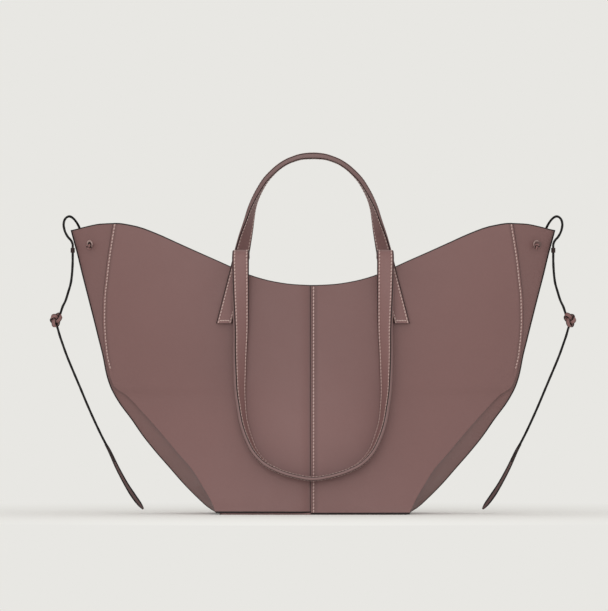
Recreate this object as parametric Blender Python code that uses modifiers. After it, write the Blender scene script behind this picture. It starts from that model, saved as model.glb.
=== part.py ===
"""A winged leather tote bag with a short hand strap, a long shoulder strap and two side laces.

Every size is in metres, +Z is up and the front faces -Y. The origin is the middle of the base's
underside. One side of the bag is worked out at +X and mirrored to -X, and the front is worked out
at -Y and mirrored to +Y.
"""

from math import cos, hypot, pi, sin

import bmesh
import bpy
from mathutils import Vector

# Overall sizes of the body
WING_SPAN = 0.501
WING_HEIGHT = 0.300
MOUTH_HEIGHT = 0.236
MOUTH_DEPTH = 0.118
BASE_LENGTH = 0.197
BASE_DEPTH = 0.165

# Leather, seams and fits
LEATHER = 0.002
FIT_GAP = 0.0004
SEAM_ALLOWANCE = 0.008
CENTRE_EDGE = 0.0025
CENTRE_TUCK = 0.006
SKIVE_LENGTH = 0.012
RIGHT_HEM_LIFT = 0.0006
LEFT_HEM_LIFT = 0.0018
LOWER_FACET_HOLLOW = 0.004

# Base
BASE_CORNER_RADIUS = 0.004
BOARD_THICKNESS = 0.002
BOARD_MARGIN = 0.004
BOARD_CORNER_RADIUS = 0.008
BASE_EASE = 0.0006

# Straps, both cut from the same strip
STRAP_WIDTH = 0.0175
STRAP_THICKNESS = 0.0045
STRAP_CHAMFER = 0.0011
FOOT_SPACING = 0.154
FOOT_LENGTH = 0.058
FOOT_SLOPE_SHARE = 0.2557
BODY_CLEARANCE = 0.0015

# Hand strap, standing over the back wall
HAND_APEX_HEIGHT = 0.370
HAND_BEND_START = 0.254
HAND_BEND_END = 0.272
HAND_LEAN = 0.018

# Shoulder strap, folded over and hanging in front
FOLD_HEIGHT = 0.264
FOLD_RADIUS = 0.006
SHOULDER_LOW_POINT = 0.037

# Spacing of a free strap's stations, as a share of its width
STATION_SHARE = 0.62

# Patches behind the strap feet
PATCH_THICKNESS = 0.0012
PATCH_WIDTH = 0.034
PATCH_HEIGHT = 0.062
PATCH_BEDDING = 0.0005

# Eyelets near the wing tips
EYELET_HEIGHT = 0.2787
EYELET_STRIP_SHARE = 0.6
EYELET_BORE_RADIUS = 0.00185
EYELET_BARREL_RADIUS = 0.0026
EYELET_FLANGE_RADIUS = 0.0046
EYELET_FLANGE_THICKNESS = 0.0009

# Laces
LACE_RADIUS = 0.00125
LACE_POINT_SPACING = 0.0065
KEEPER_RADIUS = 0.0030
KEEPER_BORE_RADIUS = 0.0019
KEEPER_HEIGHT = 0.006
KNOT_RADII = (0.0055, 0.0048, 0.0080)
STOPPER_RADII = (0.0036, 0.0036, 0.0046)
TIP_WIDTH = 0.0075
TIP_THICKNESS = 0.0020
TIP_CHAMFER = 0.0005

# Overrun of every cutter past the wall it cuts
CUTTER_LENGTH = 0.012

# Height share of the wings against reach share, from the base's end to the wing tip: side crease
CREASE_REACH_SHARES = (
    (0.0, 0.0), (0.021, 0.066), (0.048, 0.126), (0.103, 0.234), (0.158, 0.329),
    (0.213, 0.424), (0.268, 0.511), (0.323, 0.586), (0.378, 0.667), (0.406, 0.701),
    (0.433, 0.728), (0.461, 0.748), (0.488, 0.762), (0.543, 0.783), (0.598, 0.810),
    (0.653, 0.837), (0.735, 0.878), (0.828, 0.925), (0.897, 0.958), (0.949, 0.986),
    (0.977, 1.0), (1.0, 1.008),
)
# The same for the side edge of the walls: lower fold, waist and side seam
EDGE_REACH_SHARES = (
    (0.0, 0.004), (0.013, 0.014), (0.039, 0.034), (0.106, 0.110), (0.155, 0.172),
    (0.207, 0.262), (0.285, 0.394), (0.347, 0.505), (0.412, 0.632), (0.434, 0.700),
    (0.462, 0.724), (0.492, 0.741), (0.526, 0.752), (0.567, 0.760), (0.608, 0.768),
    (0.663, 0.773), (0.739, 0.770), (0.800, 0.757), (0.866, 0.742), (0.988, 0.704),
    (1.0, 0.700),
)
# Height share of the wings against depth share of half the base: side edge of the walls
EDGE_DEPTH_SHARES = (
    (0.0, 1.0), (0.013, 0.992), (0.039, 0.955), (0.106, 0.850), (0.155, 0.760),
    (0.207, 0.645), (0.285, 0.465), (0.347, 0.315), (0.412, 0.150), (0.434, 0.110),
    (0.462, 0.092), (0.492, 0.090), (0.526, 0.098), (0.567, 0.120), (0.608, 0.145),
    (0.663, 0.185), (0.739, 0.250), (0.800, 0.310), (0.866, 0.365), (0.988, 0.460),
    (1.0, 0.465),
)
# Reach share of half the wing span against rise share from the mouth to the wings: top edge
TOP_RISE_SHARES = (
    (0.0, 0.0), (0.082, 0.016), (0.165, 0.064), (0.247, 0.150), (0.329, 0.285),
    (0.399, 0.408), (0.481, 0.549), (0.563, 0.693), (0.646, 0.838), (0.728, 0.951),
    (0.810, 1.0), (0.872, 0.992), (0.934, 0.950), (1.0, 0.887),
)
DEPTH_FALL_POWER_SHARE = 1.3
# Height of the waist, where the lower facets of a gusset end, as a share of the wings' height
WAIST_SHARE = 0.434
# Rows of the walls and gussets, from hem to top edge
ROW_SHARES = (
    0.0, 0.022, 0.055, 0.105, 0.155, 0.205, 0.26, 0.315, 0.37, 0.412, 0.434, 0.462,
    0.495, 0.54, 0.60, 0.665, 0.735, 0.80, 0.865, 0.935, 1.0,
)
# Columns of a wall between the centre seam and the side seam
COLUMN_SHARES = (0.2, 0.4, 0.6, 0.8)
# Columns of a gusset half between the side seam and the crease
STRIP_SHARES = (0.33, 0.66)

LEAN_POWER_SHARE = 1.5
# Hand strap: rise share, spread share of the foot spacing and turn share of a quarter turn
HAND_ROUTE_SHARES = (
    (0.0, 0.935, 0.42), (0.129, 0.917, 0.60), (0.234, 0.891, 0.72), (0.339, 0.857, 0.80),
    (0.444, 0.827, 0.86), (0.549, 0.777, 0.91), (0.654, 0.709, 0.95), (0.759, 0.622, 0.98),
    (0.864, 0.488, 1.0), (0.934, 0.338, 1.0), (0.985, 0.162, 1.0), (1.0, 0.0, 1.0),
)
# Share of the hanging strap's drop over which it settles on the wall, and where it clears the foot
SETTLED_SHARE = 0.5
FOOT_CLEAR_SHARE = 0.2
# Shoulder strap: drop share, spread share of the foot spacing and turn share of a quarter turn
SHOULDER_ROUTE_SHARES = (
    (0.0, 0.943, 0.0), (0.101, 0.951, 0.11), (0.200, 0.955, 0.24), (0.326, 0.958, 0.37),
    (0.419, 0.974, 0.45), (0.510, 0.978, 0.54), (0.600, 0.977, 0.63), (0.668, 0.961, 0.71),
    (0.741, 0.932, 0.77), (0.809, 0.873, 0.81), (0.877, 0.783, 0.88), (0.932, 0.636, 0.95),
    (0.967, 0.442, 1.0), (0.989, 0.221, 1.0), (1.0, 0.0, 1.0),
)
# Leaf-shaped lace tip: length share against width share
TIP_WIDTH_SHARES = (
    (0.0, 0.36), (0.2, 0.45), (0.4, 0.60), (0.6, 0.80), (0.78, 1.0), (0.9, 0.85),
    (0.97, 0.45), (1.0, 0.18),
)

# How far the lace runs on each side of an eyelet's face, and its bow between the two eyelets
EYELET_PASS_REACHES = (0.0013, 0.0, -0.0040, -0.0074)
LACE_BOW = 0.0020
# Lace routes at +X, measured from the wing tip: from the back eyelet over it to the keeper
LACE_OVER_ROUTE = (
    (-0.01490, 0.01840, -0.02000), (-0.01230, 0.01840, -0.01400), (-0.00930, 0.01560, -0.00550),
    (-0.00610, 0.01190, 0.00080), (-0.00200, 0.00740, 0.00560), (0.00200, 0.00330, 0.00700),
    (0.00570, -0.00020, 0.00420), (0.00710, -0.00220, -0.00150), (0.00570, -0.00290, -0.00850),
    (0.00280, -0.00320, -0.01400), (-0.00050, -0.00310, -0.01780), (-0.00220, -0.00300, -0.02160),
    (-0.00230, -0.00300, -0.02550), (-0.00230, -0.00300, -0.02910),
)
# From the keeper to the hanging knot
LACE_UPPER_ROUTE = (
    (-0.00230, -0.00300, -0.03000), (-0.00230, -0.00300, -0.03500), (-0.00220, -0.00300, -0.04200),
    (-0.00160, -0.00300, -0.05200), (-0.00030, -0.00300, -0.06200), (0.00240, -0.00300, -0.07150),
    (0.00570, -0.00300, -0.08000), (0.00920, -0.00300, -0.08720), (0.01180, -0.00300, -0.09260),
)
# From the hanging knot to the leaf-shaped tip
LACE_LOWER_ROUTE = (
    (0.01350, -0.00300, -0.10850), (0.01230, -0.00300, -0.11500), (0.00980, -0.00300, -0.12200),
    (0.00370, -0.00300, -0.13710), (-0.00310, -0.00300, -0.15360), (-0.01010, -0.00300, -0.17010),
    (-0.01700, -0.00300, -0.18660), (-0.02430, -0.00300, -0.20310), (-0.03210, -0.00300, -0.21960),
    (-0.03630, -0.00300, -0.22800),
)
LACE_TIP_ROUTE = (
    (-0.03650, -0.00300, -0.22840), (-0.04070, -0.00300, -0.23610), (-0.04840, -0.00300, -0.25260),
    (-0.05720, -0.00300, -0.26910), (-0.06550, -0.00300, -0.28220), (-0.07350, -0.00300, -0.29320),
)
KEEPER_PLACE = (-0.00230, -0.00300, -0.0255)
KNOT_PLACE = (0.01490, -0.00300, -0.1002)

# Colours, linear
LEATHER_COLOUR = (0.222, 0.134, 0.126)
STRAP_COLOUR = (0.226, 0.138, 0.130)
LINING_COLOUR = (0.175, 0.105, 0.098)
LACE_COLOUR = (0.045, 0.026, 0.026)
EYELET_COLOUR = (0.200, 0.120, 0.112)
BOARD_COLOUR = (0.120, 0.085, 0.070)

FRONT, BACK = -1, 1
LEFT, RIGHT = -1, 1
SIDE_NAMES = {LEFT: "left", RIGHT: "right"}
FACE_NAMES = {FRONT: "front", BACK: "back"}


def smooth_table(table):
    """A smooth function through the table's points that never overshoots between two of them."""
    xs = [row[0] for row in table]
    ys = [row[1] for row in table]
    slopes = [(ys[i + 1] - ys[i]) / (xs[i + 1] - xs[i]) for i in range(len(xs) - 1)]
    tangents = [slopes[0]]
    for before, after in zip(slopes, slopes[1:]):
        same_way = before * after > 0
        tangents.append(2 * before * after / (before + after) if same_way else 0.0)
    tangents.append(slopes[-1])

    def value(x):
        x = min(max(x, xs[0]), xs[-1])
        i = 0
        while i < len(xs) - 2 and x > xs[i + 1]:
            i += 1
        width = xs[i + 1] - xs[i]
        t = (x - xs[i]) / width
        t2, t3 = t * t, t * t * t
        return (
            ys[i] * (2 * t3 - 3 * t2 + 1)
            + ys[i + 1] * (3 * t2 - 2 * t3)
            + tangents[i] * width * (t3 - 2 * t2 + t)
            + tangents[i + 1] * width * (t3 - t2)
        )

    return value


crease_reach = smooth_table(CREASE_REACH_SHARES)
edge_reach = smooth_table(EDGE_REACH_SHARES)
edge_depth_share = smooth_table(EDGE_DEPTH_SHARES)
top_rise = smooth_table(TOP_RISE_SHARES)


def reach_to_x(share):
    """Distance from the middle, for a reach share from the base's end to the wing tip."""
    return BASE_LENGTH / 2 + share * (WING_SPAN - BASE_LENGTH) / 2


def crease_x(z):
    return reach_to_x(crease_reach(z / WING_HEIGHT))


def edge_x(z):
    return reach_to_x(edge_reach(z / WING_HEIGHT))


def edge_depth(z):
    return edge_depth_share(z / WING_HEIGHT) * BASE_DEPTH / 2


def top_z(x):
    return MOUTH_HEIGHT + top_rise(abs(x) / (WING_SPAN / 2)) * (WING_HEIGHT - MOUTH_HEIGHT)


def centre_depth(z):
    """Depth of a wall at the centre seam, which draws in from the base to the mouth."""
    fall = (z / MOUTH_HEIGHT) ** DEPTH_FALL_POWER_SHARE
    return BASE_DEPTH / 2 - fall * (BASE_DEPTH - MOUTH_DEPTH) / 2


def wall_depth(x, z):
    """Distance of a wall's outer face from the middle plane."""
    across = x / edge_x(z)
    return centre_depth(z) - (centre_depth(z) - edge_depth(z)) * across * across


def row_z(x, row, lift):
    return lift + row * (top_z(x) - lift)


def row_edge_x(row, lift):
    """Where a row of the walls meets the side edge."""
    x = reach_to_x(edge_reach(row))
    for _ in range(12):
        x = edge_x(row_z(x, row, lift))
    return x


def row_crease_x(row, lift):
    """Where a row of a gusset meets the side crease."""
    x = reach_to_x(crease_reach(row))
    for _ in range(12):
        x = crease_x(row_z(x, row, lift))
    return x


def wall_point(x, z, inset=0.0):
    """Point of the front wall at +X, moved in level from the outer face by the inset."""
    step = LEATHER / 2
    slope_x = (wall_depth(x + step, z) - wall_depth(x - step, z)) / (2 * step)
    slope_z = (wall_depth(x, z + step) - wall_depth(x, z)) / step
    level = hypot(slope_x, 1.0)
    reach = inset * hypot(level, slope_z) / level
    inward = Vector((slope_x, 1.0, 0.0)) / level
    return Vector((x, -wall_depth(x, z), z)) + inward * reach


def ease(t):
    t = min(max(t, 0.0), 1.0)
    return t * t * (3 - 2 * t)


def placed(point, side, face):
    """A point worked out at the front right, mirrored to its side and face."""
    return Vector((point.x * side, -point.y * face, point.z))


def collection(name):
    group = bpy.data.collections.new(name)
    bpy.context.scene.collection.children.link(group)
    return group


for old in list(bpy.data.objects):
    bpy.data.objects.remove(old, do_unlink=True)
PARTS = collection("winged_tote_bag")
CUTTERS = collection("cutters")


def finish(obj, colour, roughness, metallic=0.0):
    """Gives an object its own material and puts it among the parts."""
    material = bpy.data.materials.new(obj.name + "_finish")
    material.use_nodes = True
    shader = material.node_tree.nodes["Principled BSDF"]
    shader.inputs["Base Color"].default_value = (*colour, 1.0)
    shader.inputs["Roughness"].default_value = roughness
    shader.inputs["Metallic"].default_value = metallic
    obj.data.materials.clear()
    obj.data.materials.append(material)
    PARTS.objects.link(obj)
    return obj


def mesh_object(name, bm):
    mesh = bpy.data.meshes.new(name)
    bm.to_mesh(mesh)
    bm.free()
    return bpy.data.objects.new(name, mesh)


def add_thickness(obj, thickness):
    solidify = obj.modifiers.new("thickness", "SOLIDIFY")
    solidify.thickness = thickness
    solidify.offset = -1.0
    solidify.use_even_offset = True
    return obj


def sheet_object(name, columns, rows, place, turned):
    """An open grid of leather whose corners are placed by column and row."""
    bm = bmesh.new()
    bmesh.ops.create_grid(bm, x_segments=columns - 1, y_segments=rows - 1, size=0.5)
    for vertex in bm.verts:
        column = round((vertex.co.x + 0.5) * (columns - 1))
        row = round((vertex.co.y + 0.5) * (rows - 1))
        vertex.co = place(column, row)
    if turned:
        bmesh.ops.reverse_faces(bm, faces=bm.faces)
    return mesh_object(name, bm)


def wall(side, face):
    """One half of the front or back wall, which meets the other half at the centre seam."""
    lift = RIGHT_HEM_LIFT if side == RIGHT else LEFT_HEM_LIFT
    tucked = side == LEFT
    start = -CENTRE_TUCK if tucked else -CENTRE_EDGE
    tuck_end = CENTRE_EDGE + LEATHER
    centre_columns = (start, tuck_end, tuck_end + SKIVE_LENGTH)
    last = len(centre_columns) + len(COLUMN_SHARES) + 1

    def place(column, row):
        share = ROW_SHARES[row]
        edge = row_edge_x(share, lift)
        if column < len(centre_columns):
            x = centre_columns[column]
        elif column < len(centre_columns) + len(COLUMN_SHARES):
            x = edge * COLUMN_SHARES[column - len(centre_columns)]
        else:
            x = edge - (SEAM_ALLOWANCE if column == last - 1 else 0.0)
        inset = 0.0
        if tucked:
            inset = (LEATHER + FIT_GAP) * (1 - ease((x - tuck_end) / SKIVE_LENGTH))
        return placed(wall_point(x, row_z(x, share, lift), inset), side, face)

    name = FACE_NAMES[face] + "_panel_" + SIDE_NAMES[side]
    obj = sheet_object(name, last + 1, len(ROW_SHARES), place, side * face == 1)
    return finish(add_thickness(obj, LEATHER), LEATHER_COLOUR, 0.55)


def strip_point(row, share, lift):
    """Point of a gusset's front half, from the side seam at share 0 to the crease at share 1."""
    edge = row_edge_x(row, lift)
    seam = wall_point(edge, row_z(edge, row, lift), LEATHER + FIT_GAP)
    crease = row_crease_x(row, lift)
    middle = Vector((crease, 0.0, row_z(crease, row, lift)))
    point = seam.lerp(middle, share)
    hollow = LOWER_FACET_HOLLOW * 4 * share * (1 - share)
    hollow *= ease(row / ROW_SHARES[2]) * ease(2 - 2 * row / WAIST_SHARE)
    return point - Vector((hollow, 0.0, 0.0))


def gusset(side):
    """Side panel: a folded strip above the waist and a folded triangle below it."""
    lift = RIGHT_HEM_LIFT if side == RIGHT else LEFT_HEM_LIFT
    half = (None, 0.0, *STRIP_SHARES)
    count = 2 * len(half) + 1

    def place(column, row):
        face = FRONT if column <= len(half) else BACK
        column = min(column, count - 1 - column)
        share = ROW_SHARES[row]
        if column == 0:
            x = row_edge_x(share, lift) - SEAM_ALLOWANCE
            point = wall_point(x, row_z(x, share, lift), LEATHER + FIT_GAP)
        else:
            point = strip_point(share, half[column] if column < len(half) else 1.0, lift)
        return placed(point, side, face)

    obj = sheet_object("gusset_" + SIDE_NAMES[side], count, len(ROW_SHARES), place, side == LEFT)
    add_thickness(obj, LEATHER)
    for face in (FRONT, BACK):
        centre, outward = eyelet_place(side, face)
        bpy.ops.mesh.primitive_cylinder_add(
            vertices=16, radius=EYELET_BARREL_RADIUS + FIT_GAP, depth=CUTTER_LENGTH, location=centre
        )
        cutter = bpy.context.object
        cutter.name = "eyelet_hole_" + FACE_NAMES[face] + "_" + SIDE_NAMES[side]
        cutter.rotation_euler = outward.to_track_quat("Z", "Y").to_euler()
        for group in list(cutter.users_collection):
            group.objects.unlink(cutter)
        CUTTERS.objects.link(cutter)
        cutter.hide_render = True
        cutter.display_type = "WIRE"
        hole = obj.modifiers.new(cutter.name, "BOOLEAN")
        hole.operation = "DIFFERENCE"
        hole.solver = "EXACT"
        hole.object = cutter
    return finish(obj, LEATHER_COLOUR, 0.55)


def eyelet_place(side, face):
    """Centre of an eyelet in the outer face of its gusset half, and the face's outward direction."""
    lift = RIGHT_HEM_LIFT if side == RIGHT else LEFT_HEM_LIFT
    row = 0.5
    for _ in range(12):
        row *= EYELET_HEIGHT / strip_point(row, EYELET_STRIP_SHARE, lift).z
    index = max(i for i, share in enumerate(ROW_SHARES) if share <= row)
    low, high = ROW_SHARES[index], ROW_SHARES[index + 1]
    part = (row - low) / (high - low)
    left_low, right_low = (strip_point(low, s, lift) for s in STRIP_SHARES)
    left_high, right_high = (strip_point(high, s, lift) for s in STRIP_SHARES)
    across = (EYELET_STRIP_SHARE - STRIP_SHARES[0]) / (STRIP_SHARES[1] - STRIP_SHARES[0])
    centre = left_low.lerp(left_high, part).lerp(right_low.lerp(right_high, part), across)
    along = right_low.lerp(right_high, part) - left_low.lerp(left_high, part)
    outward = along.cross(left_high - left_low).normalized()
    if outward.y > 0:
        outward = -outward
    return placed(centre, side, face), placed(outward, side, face)


def turned_ring(name, profile, segments):
    """A closed ring turned about Z from its profile of radius and height."""
    bm = bmesh.new()
    corners = [bm.verts.new((radius, 0.0, height)) for radius, height in profile]
    edges = [bm.edges.new((corners[i - 1], corners[i])) for i in range(len(corners))]
    bmesh.ops.spin(
        bm, geom=corners + edges, cent=(0, 0, 0), axis=(0, 0, 1), angle=2 * pi,
        steps=segments, use_merge=True,
    )
    bmesh.ops.remove_doubles(bm, verts=bm.verts, dist=FIT_GAP / 100)
    bmesh.ops.recalc_face_normals(bm, faces=bm.faces)
    return mesh_object(name, bm)


def eyelet(side, face):
    """A barrel through the leather with a flange on each face."""
    centre, outward = eyelet_place(side, face)
    grip = LEATHER + 2 * FIT_GAP
    outer = FIT_GAP
    inner = outer - grip
    profile = (
        (EYELET_BORE_RADIUS, inner - EYELET_FLANGE_THICKNESS),
        (EYELET_FLANGE_RADIUS, inner - EYELET_FLANGE_THICKNESS),
        (EYELET_FLANGE_RADIUS, inner),
        (EYELET_BARREL_RADIUS, inner),
        (EYELET_BARREL_RADIUS, outer),
        (EYELET_FLANGE_RADIUS, outer),
        (EYELET_FLANGE_RADIUS, outer + EYELET_FLANGE_THICKNESS / 2),
        ((EYELET_FLANGE_RADIUS + EYELET_BORE_RADIUS) / 2, outer + EYELET_FLANGE_THICKNESS),
        (EYELET_BORE_RADIUS, outer + EYELET_FLANGE_THICKNESS / 2),
    )
    obj = turned_ring("eyelet_" + FACE_NAMES[face] + "_" + SIDE_NAMES[side], profile, 16)
    obj.location = centre
    obj.rotation_euler = outward.to_track_quat("Z", "Y").to_euler()
    return finish(obj, EYELET_COLOUR, 0.4)


def rounded_plate(name, length, depth, radius, bottom, thickness):
    """A flat plate with rounded corners, from a bevelled box."""
    bm = bmesh.new()
    bmesh.ops.create_cube(bm, size=1.0)
    for vertex in bm.verts:
        vertex.co = Vector((vertex.co.x * length, vertex.co.y * depth, vertex.co.z * thickness))
    upright = [e for e in bm.edges if abs(e.verts[0].co.z - e.verts[1].co.z) > thickness / 2]
    bmesh.ops.bevel(
        bm, geom=upright, offset=radius, segments=4, affect="EDGES", profile=0.5, material=-1
    )
    obj = mesh_object(name, bm)
    obj.location = (0.0, 0.0, bottom + thickness / 2)
    return obj


def base():
    """The leather base between the hems, and the stiff board that lies on it."""
    hem = LEATHER + FIT_GAP
    length = BASE_LENGTH - 2 * (hem + BASE_EASE)
    depth = BASE_DEPTH - 2 * (2 * hem + BASE_EASE)
    panel = rounded_plate("base_panel", length, depth, BASE_CORNER_RADIUS, 0.0, LEATHER)
    finish(panel, LEATHER_COLOUR, 0.6)
    board = rounded_plate(
        "base_board", length - 2 * BOARD_MARGIN, depth - 2 * BOARD_MARGIN, BOARD_CORNER_RADIUS,
        LEATHER + FIT_GAP, BOARD_THICKNESS,
    )
    finish(board, BOARD_COLOUR, 0.8)


def strip_object(name, stations, corners):
    """A strip swept through stations of centre, width direction and thickness direction.

    The corners give the cross-section at each station, along those two directions.
    """
    bm = bmesh.new()
    rings = []
    for index, (centre, across, through) in enumerate(stations):
        section = corners(index)
        rings.append([centre + across * u + through * v for u, v in section])
    ring = [bm.verts.new(point) for point in rings[0]]
    edges = [bm.edges.new((ring[i - 1], ring[i])) for i in range(len(ring))]
    bmesh.ops.contextual_create(bm, geom=edges)
    order = {vertex: index for index, vertex in enumerate(ring)}
    for points in rings[1:]:
        made = bmesh.ops.extrude_edge_only(bm, edges=edges)["geom"]
        fresh = [item for item in made if isinstance(item, bmesh.types.BMVert)]
        edges = [
            item for item in made
            if isinstance(item, bmesh.types.BMEdge) and all(v in fresh for v in item.verts)
        ]
        renewed = {}
        for vertex in fresh:
            old = next(e.other_vert(vertex) for e in vertex.link_edges if e.other_vert(vertex) in order)
            renewed[vertex] = order[old]
        for vertex, index in renewed.items():
            vertex.co = points[index]
        order = renewed
    bmesh.ops.contextual_create(bm, geom=edges)
    bmesh.ops.recalc_face_normals(bm, faces=bm.faces)
    return mesh_object(name, bm)


def strap_section(width, thickness, chamfer):
    half_w, half_t = width / 2, thickness / 2
    return (
        (half_w, chamfer - half_t), (half_w, half_t - chamfer),
        (half_w - chamfer, half_t), (chamfer - half_w, half_t),
        (-half_w, half_t - chamfer), (-half_w, chamfer - half_t),
        (chamfer - half_w, -half_t), (half_w - chamfer, -half_t),
    )


STRAP_SECTION = strap_section(STRAP_WIDTH, STRAP_THICKNESS, STRAP_CHAMFER)


def strap_object(name, stations):
    obj = strip_object(name, stations, lambda index: STRAP_SECTION)
    return finish(obj, STRAP_COLOUR, 0.5)


def smooth_route(points, spacing):
    """Evenly spaced points on a smooth curve through the route's own points, ends kept."""
    points = [Vector(point) for point in points]
    padded = [2 * points[0] - points[1], *points, 2 * points[-1] - points[-2]]
    dense = [points[0]]
    for a, b, c, d in zip(padded, padded[1:], padded[2:], padded[3:]):
        for step in range(1, 17):
            t = step / 16
            dense.append(
                0.5 * (2 * b + (c - a) * t + (2 * a - 5 * b + 4 * c - d) * t**2
                       + (3 * b - a - 3 * c + d) * t**3)
            )
    lengths = [0.0]
    for before, after in zip(dense, dense[1:]):
        lengths.append(lengths[-1] + (after - before).length)
    count = max(2, round(lengths[-1] / spacing))
    result = []
    index = 0
    for number in range(count + 1):
        target = lengths[-1] * number / count
        while index < len(dense) - 2 and lengths[index + 1] < target:
            index += 1
        t = (target - lengths[index]) / (lengths[index + 1] - lengths[index])
        result.append(dense[index].lerp(dense[index + 1], min(t, 1.0)))
    return result


def route_directions(points):
    """Direction of travel at each point of a route."""
    ends = [points[0], *points, points[-1]]
    return [(after - before).normalized() for before, after in zip(ends, ends[2:])]


def foot_centre(z):
    """Middle of a strap foot in the front wall's plane, which slopes inward as it rises."""
    x = FOOT_SPACING / 2 - FOOT_SLOPE_SHARE * (z - top_z(FOOT_SPACING / 2))
    y = -wall_depth(x, z) - FIT_GAP - STRAP_THICKNESS / 2
    return Vector((x, y, z))


def across_wall(point):
    """Level direction along the front wall at +X, pointing to the middle."""
    step = LEATHER
    depth_change = wall_depth(point.x + step, point.z) - wall_depth(point.x - step, point.z)
    return Vector((-1.0, depth_change / (2 * step), 0.0)).normalized()


def square_to(direction, across):
    """The across direction made square to the direction of travel."""
    return (across - direction * across.dot(direction)).normalized()


def mirrored_stations(stations, side, face):
    return [tuple(placed(item, side, face) for item in station) for station in stations]


def foot_stations(top):
    bottom = top_z(FOOT_SPACING / 2) - FOOT_LENGTH
    count = 7
    centres = [foot_centre(bottom + (top - bottom) * i / count) for i in range(count + 1)]
    stations = []
    for centre, direction in zip(centres, route_directions(centres)):
        across = across_wall(centre)
        stations.append((centre, across, direction.cross(across).normalized()))
    return stations


def fold_stations():
    """The shoulder strap's fold, from the top of its foot over to its hanging part."""
    leg = foot_centre(FOLD_HEIGHT)
    x_after = SHOULDER_ROUTE_SHARES[0][1] * FOOT_SPACING / 2
    hinge_y = leg.y - FOLD_RADIUS
    count = 6
    stations = []
    for i in range(count + 1):
        angle = pi * i / count
        x = leg.x + (x_after - leg.x) * i / count
        outward = Vector((0.0, cos(angle), sin(angle)))
        centre = Vector((x, hinge_y, FOLD_HEIGHT)) + outward * FOLD_RADIUS
        across = across_wall(leg).lerp(Vector((-1.0, 0.0, 0.0)), i / count)
        stations.append((centre, square_to(outward, across), outward))
    return stations


def shoulder_centre(drop, spread, turn):
    """Middle of the hanging shoulder strap, which leans on the front wall as it twists."""
    z = FOLD_HEIGHT - FIT_GAP - drop * (FOLD_HEIGHT - FIT_GAP - SHOULDER_LOW_POINT)
    x = spread * FOOT_SPACING / 2
    angle = turn * pi / 2
    stand_off = STRAP_WIDTH / 2 * sin(angle) + STRAP_THICKNESS / 2 * cos(angle)
    foot_room = (FIT_GAP + STRAP_THICKNESS) * (1 - ease((drop - FOOT_CLEAR_SHARE) / SETTLED_SHARE))
    y = -wall_depth(x, z) - BODY_CLEARANCE - stand_off - foot_room
    y_start = foot_centre(FOLD_HEIGHT).y - 2 * FOLD_RADIUS
    settled = ease(drop / SETTLED_SHARE)
    return Vector((x, y_start + (y - y_start) * settled, z))


def looped_stations(table, centre_at, sense, spacing):
    """Stations of a whole strap loop, from one side over the middle to the other."""
    half = [centre_at(*row) for row in table]
    whole = half + [Vector((-p.x, p.y, p.z)) for p in reversed(half[:-1])]
    centres = smooth_route(whole, spacing)
    turn_at = smooth_table([(abs(row[0]), row[2]) for row in table])
    low, high = half[0].z, half[-1].z
    stations = []
    for centre, direction in zip(centres, route_directions(centres)):
        turn = turn_at((centre.z - low) / (high - low))
        level = direction.cross(Vector((0.0, 1.0, 0.0))).normalized()
        angle = turn * pi / 2
        inward = level if level.x * centre.x < 0 else -level
        across = inward * cos(angle) + Vector((0.0, sense, 0.0)) * sin(angle)
        across = square_to(direction, across)
        stations.append((centre, across, direction.cross(across)))
    return stations


def shoulder_strap():
    """The long strap: two feet and folds on the front wall, and the loop that hangs from them."""
    for side in (LEFT, RIGHT):
        name = SIDE_NAMES[side]
        foot = mirrored_stations(foot_stations(FOLD_HEIGHT - FIT_GAP), side, FRONT)
        strap_object("shoulder_strap_foot_" + name, foot)
        strap_object("shoulder_strap_fold_" + name, mirrored_stations(fold_stations(), side, FRONT))
    stations = looped_stations(SHOULDER_ROUTE_SHARES, shoulder_centre, 1.0, STRAP_WIDTH * STATION_SHARE)
    strap_object("shoulder_strap", stations)


def hand_centre(rise, spread, turn):
    """Middle of the standing hand strap, worked out at the front and mirrored to the back."""
    start = HAND_BEND_END + FIT_GAP
    z = start + rise * (HAND_APEX_HEIGHT - start)
    y = foot_centre(HAND_BEND_END).y + HAND_LEAN * rise ** LEAN_POWER_SHARE
    return Vector((spread * FOOT_SPACING / 2, y, z))


def hand_strap():
    """The short strap: two feet and bends on the back wall, and the arch that stands on them."""
    bottom = foot_centre(HAND_BEND_START)
    top = hand_centre(*HAND_ROUTE_SHARES[0]) - Vector((0.0, 0.0, FIT_GAP))
    arch = looped_stations(HAND_ROUTE_SHARES, hand_centre, -1.0, STRAP_WIDTH * STATION_SHARE)
    count = 4
    bend = []
    centres = [bottom.lerp(top, i / count) for i in range(count + 1)]
    for i, (centre, direction) in enumerate(zip(centres, route_directions(centres))):
        across = across_wall(bottom).slerp(arch[0][1], i / count)
        bend.append((centre, across, direction.cross(across).normalized()))
    for side in (LEFT, RIGHT):
        name = SIDE_NAMES[side]
        foot = mirrored_stations(foot_stations(HAND_BEND_START - FIT_GAP), side, BACK)
        strap_object("hand_strap_foot_" + name, foot)
        strap_object("hand_strap_bend_" + name, mirrored_stations(bend, side, BACK))
    strap_object("hand_strap", mirrored_stations(arch, RIGHT, BACK))


def patch(side, face):
    """A leather patch inside the wall, behind a strap foot."""
    columns, rows = 4, 4
    middle = foot_centre(top_z(FOOT_SPACING / 2) - PATCH_HEIGHT / 2).x

    def place(column, row):
        x = middle + PATCH_WIDTH * (column / (columns - 1) - 0.5)
        z = top_z(x) - LEATHER - PATCH_HEIGHT * (1 - row / (rows - 1))
        return placed(wall_point(x, z, LEATHER + FIT_GAP + PATCH_BEDDING), side, face)

    name = FACE_NAMES[face] + "_patch_" + SIDE_NAMES[side]
    obj = sheet_object(name, columns, rows, place, side * face == 1)
    return finish(add_thickness(obj, PATCH_THICKNESS), LINING_COLOUR, 0.8)


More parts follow.
